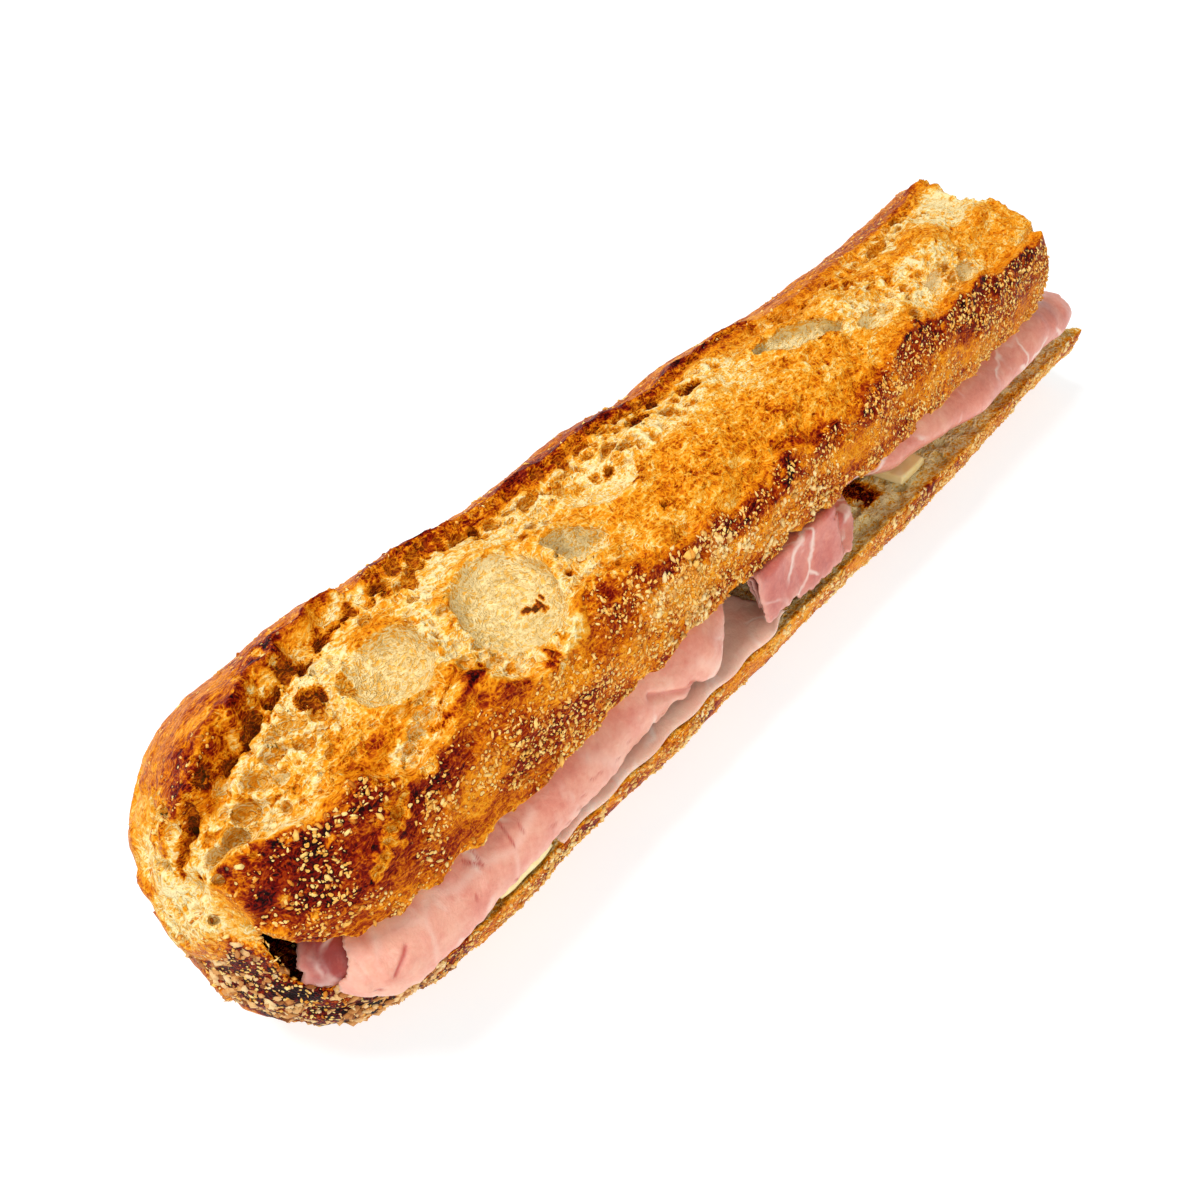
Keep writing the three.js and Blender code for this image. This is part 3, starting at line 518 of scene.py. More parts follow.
N_FINE, N_MID = noise3(1.15, 91), noise3(3.4, 92)
F = np.empty((nx, ny, nz), np.float32)
TONE = np.zeros((nx, ny, nz), np.uint8)
YY, ZZ = ys[:, None] + 0 * zs[None, :], zs[None, :] + 0 * ys[:, None]
MAPS = np.stack([R0, SLOPE, D], -1)
for i, x in enumerate(xs):
    yc, zc = axis(x)
    rho = np.hypot(YY - yc, ZZ - zc)
    v = (np.degrees(np.arctan2(ZZ - zc, YY - yc)) % 360) / 0.5
    j = v.astype(np.int32)
    w = (v - j)[..., None]
    j %= NA
    m = MAPS[i, j] * (1 - w) + MAPS[i, (j + 1) % NA] * w
    n1, n2 = N_FINE[i], N_MID[i]
    body = (rho - m[..., 0]) * m[..., 1] - m[..., 2] + 0.06 * n1
    if x < -118:
        body = body + 0.35 * n2 * smooth((-118 - x) / 8)
    if x < HEEL_X - 0.3:
        body = np.maximum(body, HEEL_X - x)
    f = np.maximum(body, -ZZ + 0.05 * n1 + 0.12 * n2)
    # cut end, torn a little
    cut = x - cut_x(YY, ZZ) - 0.35 * n2 - 0.16 * n1
    f = np.maximum(f, cut)
    # the slit
    if x > SLIT_START - 2:
        hinge, opened = float(hinge_y(x)), smooth((x - SLIT_START + 1.5) / 2.4)
        rim_y = float(tab(CUT_RIM_Y, x))
        y0 = -24 + (YY - rim_y) * (HINGE_Y + 24) / (hinge - rim_y)
        edge = smooth((-17 - YY) / 6)
        fl = floor_z(y0) + rise(x) - 0.9 * smooth((YY + 30.2) / 2.2) * smooth((8 - YY) / 10) + 0.30 * n2 + 0.10 * n1
        rf = roof_z(x, y0) + (0.35 + 0.45 * edge) * n2 + (0.12 + 0.12 * edge) * n1
        mid = 0.5 * (fl + rf) + 2
        fl, rf = mix(mid, fl, opened), mix(mid, rf, opened)
        gap = np.maximum(np.maximum(fl - ZZ, ZZ - rf), YY - hinge)
        gap = np.maximum(gap, SLIT_START - x + 0.5 * n2)
        k = -gap > f
        TONE[i][k & (-gap > -1.2)] = 30
        f = np.maximum(f, -gap)
    TONE[i][(cut > -0.6) & (f > -1.0) & (body < -0.3)] = 26
    F[i] = f


def carve(cx, cy, cz, ang, rl, rt, rn, turn, tone, rough=0.0):
    """Takes an oval cell out of the bread, in axes turned to the crust there."""
    r = max(rl, rt, rn) * 1.25 + 2 * H
    a = [max(0, int((c - r - v[0]) / H)) for c, v in ((cx, xs), (cy, ys), (cz, zs))]
    b = [min(n, int((c + r - v[0]) / H) + 2) for c, v, n in ((cx, xs, nx), (cy, ys, ny), (cz, zs, nz))]
    if any(q - p < 2 for p, q in zip(a, b)):
        return
    s = tuple(slice(p, q) for p, q in zip(a, b))
    dx = xs[s[0]][:, None, None] - cx
    dy = ys[s[1]][None, :, None] - cy
    dz = zs[s[2]][None, None, :] - cz
    ca, sa, ct, st = math.cos(ang), math.sin(ang), math.cos(turn), math.sin(turn)
    n = dy * ca + dz * sa
    t = -dy * sa + dz * ca
    u, v = dx * ct + t * st, -dx * st + t * ct
    q = np.sqrt((u / rl) ** 2 + (v / rt) ** 2 + (n / rn) ** 2)
    e = (1 - q) * min(rl, rt, rn)
    if rough:
        e = e + rough * N_FINE[s] + rough * 1.5 * N_MID[s]
    f = F[s]
    k = e > f
    F[s] = np.where(k, e, f)
    TONE[s] = np.where(k & (e > -0.8 * H), np.uint8(1 + int(200 * min(max(tone, 0), 1))), TONE[s])


for x, a, sink, rl, rt, rn, turn, tone in holes:
    yc, zc = axis(x)
    ang = math.radians(a)
    # the cell hangs below the crust as it is just there
    i, j = int(np.clip((x - xs[0]) / H, 0, nx - 1)), int(a / 0.5) % NA
    r = float(R0[i, j] + np.median(D[max(0, i - 2):i + 3, max(0, j - 3):j + 4])) - sink
    carve(x, yc + r * math.cos(ang), zc + r * math.sin(ang), ang, rl, rt, rn, math.radians(turn), tone, 0.05 if rl < 5 else 0.10)

# torn crumb at the heel: the pale place left of the ear, and between flap and heel
for c, r, tone, rough in [((-134, 15, 40), (4.2, 5.5, 6.5), .13, .5), ((-134.5, 9, 47), (3.8, 4.5, 4.5), .12, .5),
                          ((-136, 6, 36), (3.0, 5, 5), .16, .5), ((-129.8, -1.5, 47.2), (2.6, 3.4, 3.2), .12, .4),
                          ((-128.6, -7.5, 44.6), (1.9, 3.2, 2.8), .14, .4), ((-127.4, -12.0, 41.4), (1.5, 2.4, 2.2), .2, .3)]:
    carve(c[0], c[1], c[2], math.pi / 2, r[0], r[1], r[2], 0, tone, rough)
# cells inside the slit's two faces and on the cut end
n = 900
px = RNG.uniform(-118, 131, n)
py = RNG.uniform(-27.5, 16, n)
up = RNG.random(n) < 0.5
pz = np.where(up, roof_z(px, py) + 0.3, floor_z(py) - 1.1)
rr = 0.5 * 4.0 ** (RNG.random(n) ** 1.8)
for i in range(n):
    carve(px[i], py[i], pz[i], math.pi / 2, rr[i] * 1.3, rr[i], rr[i] * 0.8, RNG.uniform(0, 3.1), 0.11 if rr[i] < 1.2 else 0.125, 0.05)
n = 420
ta, tr = RNG.uniform(0, 2 * math.pi, n), np.sqrt(RNG.random(n)) * 25
py, pz = AXIS_Y + tr * np.cos(ta), AXIS_Z + tr * np.sin(ta)
rr = 0.5 * 6.5 ** (RNG.random(n) ** 2.2)
for i in range(n):
    carve(cut_x(py[i], pz[i]) + 0.2 * rr[i], py[i], pz[i], math.pi / 2, rr[i] * 0.9, rr[i], rr[i] * RNG.uniform(0.6, 1.0), 0, 0.085, 0.06)


# ------------------------------------------------------- surface of the field
def surface_nets(f, origin, h):
    s = f < 0
    n0, n1, n2 = f.shape
    c = s[:-1, :-1, :-1].astype(np.uint8)
    for dx, dy, dz in ((1, 0, 0), (0, 1, 0), (1, 1, 0), (0, 0, 1), (1, 0, 1), (0, 1, 1), (1, 1, 1)):
        c += s[dx:n0 - 1 + dx, dy:n1 - 1 + dy, dz:n2 - 1 + dz]
    act = (c > 0) & (c < 8)
    idx = np.flatnonzero(act)
    ids = np.full(act.size, -1, np.int32)
    ids[idx] = np.arange(len(idx), dtype=np.int32)
    ix, iy, iz = np.unravel_index(idx, act.shape)
    flat = f.ravel()
    st = (n1 * n2, n2, 1)
    base = ix * st[0] + iy * st[1] + iz
    corners = [(0, 0, 0), (1, 0, 0), (0, 1, 0), (1, 1, 0), (0, 0, 1), (1, 0, 1), (0, 1, 1), (1, 1, 1)]
    V = [flat[base + a * st[0] + b * st[1] + c_] for a, b, c_ in corners]
    acc, cnt = np.zeros((len(idx), 3), np.float32), np.zeros(len(idx), np.float32)
    for i in range(8):
        for ax in range(3):
            if corners[i][ax] == 0:
                a, b = V[i], V[i | (1 << ax)]
                m = (a < 0) != (b < 0)
                t = np.where(m, a / np.where(m, a - b, 1), 0)
                for k in range(3):
                    acc[:, k] += np.where(m, t if k == ax else corners[i][k], 0)
                cnt += m
    P = (np.stack([ix, iy, iz], 1) + acc / cnt[:, None]) * h + np.asarray(origin)
    quads, dims = [], act.shape
    for ax in range(3):
        a = [slice(0, n) for n in f.shape]
        b = list(a)
        a[ax], b[ax] = slice(0, f.shape[ax] - 1), slice(1, f.shape[ax])
        inn = s[tuple(a)]
        m = inn != s[tuple(b)]
        o = [k for k in range(3) if k != ax]
        sl = [slice(None)] * 3
        for k in o:
            sl[k] = slice(1, f.shape[k] - 1)
        q = np.argwhere(m[tuple(sl)]).astype(np.int64)
        for k in o:
            q[:, k] += 1
        si = inn[q[:, 0], q[:, 1], q[:, 2]]
        u, v = o

        def corner(du, dv):
            w = q.copy()
            w[:, u] -= du
            w[:, v] -= dv
            return ids[(w[:, 0] * dims[1] + w[:, 1]) * dims[2] + w[:, 2]]

        Q = np.stack([corner(1, 1), corner(0, 1), corner(0, 0), corner(1, 0)], 1)
        flip = si if ax != 1 else ~si
        Q[~flip] = Q[~flip][:, ::-1]
        quads.append(Q)
    return P.astype(np.float32), np.concatenate(quads), (ix, iy, iz)


def biggest(P, Q):
    """Keeps the largest joined part of a mesh and drops crumbs that float free."""
    lab = np.arange(len(P))
    while True:
        m = lab[Q].min(1)
        new = lab.copy()
        for k in range(4):
            np.minimum.at(new, Q[:, k], m)
        new = new[new]
        if (new == lab).all():
            break
        lab = new
    keep = lab == np.bincount(lab).argmax()
    number = np.cumsum(keep) - 1
    return keep, number[Q[keep[Q[:, 0]]]]


def new_mesh(name, P, faces, material=None, attrs=None, shade=True):
    me = bpy.data.meshes.new(name)
    P = (np.asarray(P, np.float64) - SHIFT) * 0.001
    faces = np.asarray(faces)
    me.vertices.add(len(P))
    me.vertices.foreach_set("co", P.astype(np.float32).ravel())
    n, k = faces.shape
    me.loops.add(n * k)
    me.loops.foreach_set("vertex_index", faces.astype(np.int32).ravel())
    me.polygons.add(n)
    me.polygons.foreach_set("loop_start", np.arange(0, n * k, k, dtype=np.int32))
    me.polygons.foreach_set("loop_total", np.full(n, k, np.int32))
    me.update(calc_edges=True)
    me.validate(clean_customdata=False)
    if shade:
        me.polygons.foreach_set("use_smooth", np.ones(len(me.polygons), bool))
    for key, v in (attrs or {}).items():
        at = me.attributes.new(key, "FLOAT_COLOR", "POINT")
        at.data.foreach_set("color", np.asarray(v, np.float32).ravel())
    o = bpy.data.objects.new(name, me)
    bpy.context.scene.collection.objects.link(o)
    if material:
        me.materials.append(material)
    return o


P, Q, (ix, iy, iz) = surface_nets(F, (xs[0], ys[0], zs[0]), H)
keep, Q = biggest(P, Q)
P, ix, iy, iz = P[keep], ix[keep], iy[keep], iz[keep]
code = np.zeros(len(P), np.uint8)
for a in (0, 1):
    for b in (0, 1):
        for c in (0, 1):
            code = np.maximum(code, TONE[ix + a, iy + b, iz + c])
yc, zc = axis(P[:, 0].astype(float))
rho = np.hypot(P[:, 1] - yc, P[:, 2] - zc)
ang = np.degrees(np.arctan2(P[:, 2] - zc, P[:, 1] - yc)) % 360
surf_T = look(T, P[:, 0], ang)
depth = (look(R0, P[:, 0], ang) - rho) * look(SLOPE, P[:, 0], ang) + look(D, P[:, 0], ang)
# just inside a cut, the crust still shows as a brown rim
inner = code > 0
tone = (code.astype(np.float32) - 1) / 200
face = (code == 30) | (code == 26)                              # the slit and the cut end
blister = inner & ~face & (tone < 0.145)
shell = np.exp(-np.maximum(depth, 0) / np.where(face, 1.3, np.where(blister, 1.5, 0.7)))
tone = np.where(face, np.where(code == 26, 0.06, 0.11) + np.where(code == 26, 0.08, 0.14) * np.exp(-np.maximum(depth, 0) / 4.0), tone)
Tv = np.where(inner, mix(tone, np.where(face, np.maximum(surf_T, 0.50), surf_T), shell * np.where(face | blister, 0.9, 0.6)), surf_T)
score_v = look(SCORE.astype(np.float32), P[:, 0], ang)
crumb = np.where(inner, 1 - 0.8 * shell, 0.75 * score_v * smooth((0.5 - surf_T) / 0.2))
crumb = np.maximum(crumb, 0.25 * score_v)
# painted shade and light: where the relief lies below its blurred self the toast is darkened in the material, where it
# stands above it is paler
BLUR = D.copy()
for _ in range(10):
    BLUR = (BLUR + np.roll(BLUR, 1, 0) + np.roll(BLUR, -1, 0) + np.roll(BLUR, 1, 1) + np.roll(BLUR, -1, 1)) / 5
cav = np.clip(look((D - BLUR).astype(np.float32), P[:, 0], ang) / 0.6, -1, 1)
cav = np.where(inner, 0, cav)
back_v = look(BACK.astype(np.float32), P[:, 0], ang) * ~inner
# painted shade: 'deep' grows with depth below the crust inside the darker pits and darkens them in the material
pit = inner & ~face & (tone > 0.145)
deep = np.where(pit, np.clip((depth - 0.3) / 1.8, 0, 1), 0)
# painted shade: deep in the slit near the heel the crumb face is coloured nearly black
Tv = np.where((code == 30) & (depth > 1.0), mix(Tv, 0.98, smooth((-116 - P[:, 0]) / 5)), Tv)
# painted shade: the floors of the deep bowls are greyed towards olive with depth
shade = np.where(blister & (P[:, 0] < -50), smooth((depth - 1.2) / 3.8), 0)
open_v = np.where(inner, np.where(code == 26, 0.35, np.where(face, 0.6, 0.2)), look(OPEN.astype(np.float32), P[:, 0], ang))
print("bread", len(P), "verts", len(Q), "quads")


# ------------------------------------------------------------------ materials
def srgb(r, g, b):
    return tuple(((c / 255 / 12.92) if c / 255 <= 0.04045 else ((c / 255 + 0.055) / 1.055) ** 2.4) for c in (r, g, b)) + (1.0,)


class Nodes:
    def __init__(self, name):
        self.mat = bpy.data.materials.new(name)
        self.mat.use_nodes = True
        self.nt = self.mat.node_tree
        self.nt.nodes.clear()
        self.out = self.nt.nodes.new("ShaderNodeOutputMaterial")
        self.bsdf = self.nt.nodes.new("ShaderNodeBsdfPrincipled")
        self.nt.links.new(self.bsdf.outputs[0], self.out.inputs[0])
        self.co = self.nt.nodes.new("ShaderNodeTexCoord").outputs["Object"]

    def set(self, key, value):
        self.bsdf.inputs[key].default_value = value

    def link(self, a, b):
        self.nt.links.new(a, b)

    def put(self, socket, v):
        if hasattr(v, "is_linked") or hasattr(v, "node"):
            self.link(v, socket)
        else:
            socket.default_value = v

    def math(self, op, a, b=0.0, c=None, clamp=False):
        n = self.nt.nodes.new("ShaderNodeMath")
        n.operation, n.use_clamp = op, clamp
        self.put(n.inputs[0], a)
        self.put(n.inputs[1], b)
        if c is not None:
            self.put(n.inputs[2], c)
        return n.outputs[0]

    def noise(self, size_mm, detail=3.0, rough=0.55, warp=0.0, coord=None, seed=0.0):
        n = self.nt.nodes.new("ShaderNodeTexNoise")
        n.noise_dimensions = "4D" if seed else "3D"
        if seed:
            n.inputs["W"].default_value = seed
        n.inputs["Scale"].default_value = 1000.0 / size_mm
        n.inputs["Detail"].default_value = detail
        n.inputs["Roughness"].default_value = rough
        n.inputs["Distortion"].default_value = warp
        self.link(coord or self.co, n.inputs["Vector"])
        return n.outputs["Fac"]

    def stretch(self, scale, rot=(0, 0, 0)):
        n = self.nt.nodes.new("ShaderNodeMapping")
        n.inputs["Scale"].default_value = scale
        n.inputs["Rotation"].default_value = rot
        self.link(self.co, n.inputs["Vector"])
        return n.outputs[0]

    def ramp(self, fac, stops, mode="LINEAR"):
        n = self.nt.nodes.new("ShaderNodeValToRGB")
        n.color_ramp.interpolation = mode
        e = n.color_ramp.elements
        e[0].position, e[0].color = stops[0][0], srgb(*stops[0][1])
        e[1].position, e[1].color = stops[-1][0], srgb(*stops[-1][1])
        for p, c in stops[1:-1]:
            q = e.new(p)
            q.color = srgb(*c)
        self.link(fac, n.inputs[0])
        return n.outputs[0]

    def step(self, fac, lo, hi, a=0.0, b=1.0):
        n = self.nt.nodes.new("ShaderNodeMapRange")
        n.interpolation_type = "SMOOTHSTEP"
        for k, v in zip(("From Min", "From Max", "To Min", "To Max"), (lo, hi, a, b)):
            n.inputs[k].default_value = v
        self.link(fac, n.inputs["Value"])
        return n.outputs[0]

    def blend(self, fac, a, b, mode="MIX"):
        n = self.nt.nodes.new("ShaderNodeMix")
        n.data_type, n.blend_type = "RGBA", mode
        n.clamp_factor = True
        self.put(n.inputs[0], fac)
        self.put(n.inputs[6], a)
        self.put(n.inputs[7], b)
        return n.outputs[2]

    def attr(self, name):
        n = self.nt.nodes.new("ShaderNodeAttribute")
        n.attribute_name = name
        s = self.nt.nodes.new("ShaderNodeSeparateColor")
        self.link(n.outputs["Color"], s.inputs[0])
        return s.outputs[0], s.outputs[1], s.outputs[2], n.outputs["Alpha"]

    def bump(self, height, strength, distance_mm, normal=None):
        n = self.nt.nodes.new("ShaderNodeBump")
        n.inputs["Strength"].default_value = strength
        n.inputs["Distance"].default_value = distance_mm * 0.001
        self.link(height, n.inputs["Height"])
        if normal:
            self.link(normal, n.inputs["Normal"])
        return n.outputs[0]


def ridge(m, fac):
    return m.math("SUBTRACT", 1.0, m.math("ABSOLUTE", m.math("MULTIPLY_ADD", fac, 2.0, -1.0)))


def warped(m, size_mm, amount_mm, seed):
    """Object coordinates pushed about by noise."""
    n = m.nt.nodes.new("ShaderNodeTexNoise")
    n.noise_dimensions = "4D"
    n.inputs["W"].default_value = seed
    n.inputs["Scale"].default_value = 1000.0 / size_mm
    n.inputs["Detail"].default_value = 1.0
    m.link(m.co, n.inputs["Vector"])
    v = m.nt.nodes.new("ShaderNodeVectorMath")
    v.operation = "MULTIPLY_ADD"
    m.link(n.outputs["Color"], v.inputs[0])
    v.inputs[1].default_value = (amount_mm * 0.001,) * 3
    m.link(m.co, v.inputs[2])
    return v.outputs[0]


def voronoi(m, size_mm, feature, coord):
    n = m.nt.nodes.new("ShaderNodeTexVoronoi")
    n.feature = feature
    n.inputs["Scale"].default_value = 1000.0 / size_mm
    m.link(coord, n.inputs["Vector"])
    return n


def bread_material():
    m = Nodes("bread_crust")
    toast, crumb, cavity_shade, streak_and_sheen = m.attr("look")
    opened, grainy, deep, shade = m.attr("look2")
    fine = m.noise(0.55, 2.0, 0.6, 0.4)
    small = m.noise(1.3, 3.0, 0.6, 0.8, seed=3.1)
    mid = m.noise(3.6, 2.0, 0.5, 1.2, seed=7.7)
    # curly strands: thin lines of two sizes
    curl = m.step(ridge(m, m.noise(2.6, 1.0, 0.5, 2.6, seed=5.2)), 0.78, 0.97)
    curl2 = m.step(ridge(m, m.noise(1.5, 1.0, 0.5, 1.8, seed=9.4)), 0.74, 0.96)
    streak = m.noise(1.0, 3.0, 0.6, 0.6, coord=m.stretch((0.35, 1.0, 1.0), (0.3, 0.1, 0.35)), seed=1.9)
    along = m.step(ridge(m, m.noise(1.9, 1.0, 0.5, 1.5, coord=m.stretch((0.36, 1.0, 1.0), (0.0, 0.1, 0.25)), seed=12.3)), 0.80, 0.97)
    # open cells, and grains of semolina baked into the crust
    bend = warped(m, 2.4, 1.6, 2.0)
    cell = m.step(voronoi(m, 1.9, "DISTANCE_TO_EDGE", bend).outputs["Distance"], 0.03, 0.28)
    cell2 = m.step(voronoi(m, 3.6, "DISTANCE_TO_EDGE", bend).outputs["Distance"], 0.03, 0.24)
    dots = voronoi(m, 1.05, "F1", warped(m, 0.9, 0.7, 6.0))
    pick = m.nt.nodes.new("ShaderNodeSeparateColor")
    m.link(dots.outputs["Color"], pick.inputs[0])
    chosen = m.step(m.math("SUBTRACT", m.math("MULTIPLY", grainy, 0.95), pick.outputs[0]), -0.05, 0.05)
    size = m.math("MULTIPLY_ADD", pick.outputs[1], 0.16, 0.24)
    near = m.math("SUBTRACT", size, dots.outputs["Distance"])
    dot = m.math("MULTIPLY", m.step(near, 0.0, 0.06), chosen)
    # painted shade: a darker ring of toast around each chosen grain dot
    grain_shade_ring = m.math("MULTIPLY", m.step(near, -0.22, 0.0), chosen)
    # how strongly each noise moves the toast: less on pale crumb
    amp = m.step(crumb, 0.0, 1.0, 1.0, 0.50)
    fine_n = m.math("MULTIPLY", m.math("SUBTRACT", fine, 0.5), m.step(crumb, 0.0, 0.5, 0.24, 0.12))
    n = m.math("ADD", fine_n, m.math("MULTIPLY_ADD", small, 0.09, -0.045))
    n = m.math("ADD", n, m.math("MULTIPLY_ADD", mid, 0.26, -0.13))
    # streaky toast on the back crust, partly real streaks and partly painted sheen
    n = m.math("ADD", n, m.math("MULTIPLY", m.math("MULTIPLY_ADD", streak, 0.5, -0.25), streak_and_sheen))
    n = m.math("MULTIPLY", n, amp)
    t = m.math("ADD", toast, n)
    soft = m.step(crumb, 0.0, 0.5, 0.6, 1.0)
    lines = m.math("ADD", m.math("MULTIPLY", curl, 0.20), m.math("MULTIPLY", curl2, 0.11))
    lines = m.math("ADD", lines, m.math("MULTIPLY", along, 0.18))
    t = m.math("SUBTRACT", t, m.math("MULTIPLY", m.math("SUBTRACT", lines, 0.10), soft))
    t = m.math("ADD", t, m.math("MULTIPLY", 0.03, soft))
    # painted shade: the insides of the cells darker, their walls paler
    painted_cell_shade = m.math("ADD", m.math("MULTIPLY_ADD", cell, 0.26, -0.12), m.math("MULTIPLY_ADD", cell2, 0.16, -0.08))
    t = m.math("ADD", t, m.math("MULTIPLY", painted_cell_shade, opened))
    # painted shade in the recesses of the relief, painted light on its ridges
    t = m.math("ADD", t, m.math("MULTIPLY", cavity_shade, -0.22))
    # painted shade: pits darken with their depth
    t = m.math("ADD", t, m.math("MULTIPLY", deep, 0.12))
    t = m.math("ADD", t, m.math("MULTIPLY", grain_shade_ring, 0.13))
    t = m.math("ADD", t, m.step(crumb, 0.0, 0.3, 0.085, 0.022))
    color = m.ramp(t, [(0.0, (255, 232, 172)), (0.10, (250, 210, 128)), (0.22, (245, 185, 78)), (0.34, (240, 158, 34)), (0.45, (232, 138, 12)),
                       (0.54, (210, 112, 5)), (0.62, (186, 86, 2)), (0.70, (156, 54, 1)), (0.78, (128, 24, 1)), (0.86, (96, 5, 1)),
                       (0.94, (56, 2, 1)), (1.0, (20, 2, 2))])
    # painted shade: deep pale crumb is blended towards olive rather than orange
    color = m.blend(m.math("MULTIPLY", m.math("MULTIPLY", deep, crumb), 0.22), color, srgb(150, 100, 30))
    # painted shade on the bowl floors, broken up by noise
    grey = m.math("MULTIPLY", shade, m.step(m.noise(1.7, 3.0, 0.6, 1.6, seed=17.0), 0.36, 0.64, 0.04, 0.62))
    color = m.blend(grey, color, srgb(206, 168, 92))
    pale = m.blend(pick.outputs[2], srgb(240, 170, 66), srgb(255, 220, 136))
    color = m.blend(m.math("MULTIPLY", dot, 0.95), color, pale)
    m.link(color, m.bsdf.inputs["Base Color"])
    rough = m.math("ADD", m.step(crumb, 0.0, 0.6, 0.42, 0.85), m.math("MULTIPLY_ADD", small, 0.09, -0.045))
    m.link(rough, m.bsdf.inputs["Roughness"])
    m.set("Specular IOR Level", 0.045)
    h = m.math("ADD", m.math("MULTIPLY", fine, 0.12), m.math("MULTIPLY", small, 0.28))
    h = m.math("ADD", h, m.math("MULTIPLY", along, 0.22))
    h = m.math("ADD", h, m.math("MULTIPLY", m.math("ADD", curl, m.math("MULTIPLY", curl2, 0.6)), m.step(crumb, 0.0, 1.0, 0.12, 0.35)))
    h = m.math("SUBTRACT", h, m.math("MULTIPLY", cell, m.math("MULTIPLY", opened, 0.8)))
    h = m.math("ADD", h, m.math("MULTIPLY", dot, 0.5))
    m.link(m.bump(h, 0.9, 0.5), m.bsdf.inputs["Normal"])
    return m.mat


# painted shade: the slit face in the hollow near x = 37, behind the ham, is coloured nearly black
k = (code == 30) & (P[:, 1] > -22.5)
Tv = np.where(k, mix(Tv, 0.98, np.exp(-((P[:, 0] - 37) / 4.2) ** 4) * smooth((P[:, 1] + 23.5) / 2)), Tv)
look_attr = np.stack([np.clip(Tv, 0, 1.2), crumb, cav * 0.5, back_v], 1)
BREAD_MAT = bread_material()


# grains for each square millimetre
G = 0.02 + 0.0 * X
G = np.maximum(G, FRONT * (0.75 + 0.45 * smooth((A - 126) / 12)))
G = np.maximum(G, LOW * 0.80)
G = np.maximum(G, 0.16 * BACK)
G = np.maximum(G, 0.05 * (A > 222))
G = np.maximum(G, 1.9 * spot(-35, 139, 14, 7.5, 0, 0.8))
G = np.maximum(G, 1.5 * spot(-10, 139, 22, 4.5, 0, 0.8))
G = np.maximum(G, 1.25 * spot(-113, 124, 16, 9, 6, 0.5) * smooth((AW - lf) / 3 + 0.3))
G = np.maximum(G, 0.45 * spot(-121, 78, 7, 6, 0, 0.5))
G = np.maximum(G, 1.2 * spot(70, 133, 38, 6, 0, 0.8))
G = G * smooth(0.75 + 0.45 * noise(5, 4, 71))
G = G * (1 - SCORE * 0.96) * ((A < 172) | (A > 176))
HEEL_G = 0.85 * BAND * smooth((-100 - X) / 10) * smooth(0.8 + 0.4 * noise(4, 3, 72))
G = np.where(A < 40, G * 0.8, G)
grain_v = look(np.clip(np.maximum(G, 1.2 * HEEL_G), 0, 1).astype(np.float32), P[:, 0], ang) * np.where(inner, 0, 1)
bread = new_mesh("bread_loaf", P, Q, BREAD_MAT, {"look": look_attr, "look2": np.stack([open_v, grain_v, deep, shade], 1)})


# ------------------------------------------------------------------- semolina
def on_crust(x, a):
    """The outermost point of the bread's surface on the ray at x, a, and its normal."""
    yc, zc = axis(x)
    ca, sa = np.cos(np.radians(a)), np.sin(np.radians(a))
    r = look(R0, x, a) + np.maximum(look(D, x, a), 0) + 1.5
    done = np.zeros(len(x), bool)
    fi = np.clip((x - xs[0]) / H, 0, nx - 2).astype(int)

    def field(rr):
        y = np.clip((yc + rr * ca - ys[0]) / H, 0, ny - 1.01)
        z = np.clip((zc + rr * sa - zs[0]) / H, 0, nz - 1.01)
        j, k = y.astype(int), z.astype(int)
        g, e = y - j, z - k
        return ((F[fi, j, k] * (1 - g) + F[fi, j + 1, k] * g) * (1 - e) + (F[fi, j, k + 1] * (1 - g) + F[fi, j + 1, k + 1] * g) * e)

    for _ in range(60):
        v = field(r)
        done |= v <= 0
        r = np.where(done, r, r - 0.2)
    p = np.stack([x, yc + r * ca, zc + r * sa], 1)
    ijk = [np.clip(((p[:, k] - v[0]) / H).round().astype(int), 1, n - 2) for k, (v, n) in enumerate(((xs, nx), (ys, ny), (zs, nz)))]
    g = np.stack([F[ijk[0] + 1, ijk[1], ijk[2]] - F[ijk[0] - 1, ijk[1], ijk[2]], F[ijk[0], ijk[1] + 1, ijk[2]] - F[ijk[0], ijk[1] - 1, ijk[2]],
                  F[ijk[0], ijk[1], ijk[2] + 1] - F[ijk[0], ijk[1], ijk[2] - 1]], 1)
    g /= np.linalg.norm(g, axis=1)[:, None] + 1e-9
    return p, g, done & (p[:, 2] > 0.6)


def scatter(density, seed):
    g = np.random.default_rng(seed)
    area = 1.9 * H * 0.5 * K * np.clip(R0 / 31, 0, 1.2) / np.maximum(SLOPE, 0.25)
    m = g.random(density.shape) < density * area
    i, j = np.nonzero(m)
    return on_crust(xs[i] + g.uniform(-H / 2, H / 2, len(i)), A[i, j] + g.uniform(-0.25, 0.25, len(i)))


def pebble():
    """Six sides between two blunt points: twelve triangles."""
    a = np.arange(6) * math.pi / 3
    v = np.concatenate([np.stack([np.cos(a), np.sin(a), 0 * a], 1), [(0, 0, 0.9), (0, 0, -0.9)]])
    f = [(i, (i + 1) % 6, 6) for i in range(6)] + [((i + 1) % 6, i, 7) for i in range(6)]
    return v, np.array(f)


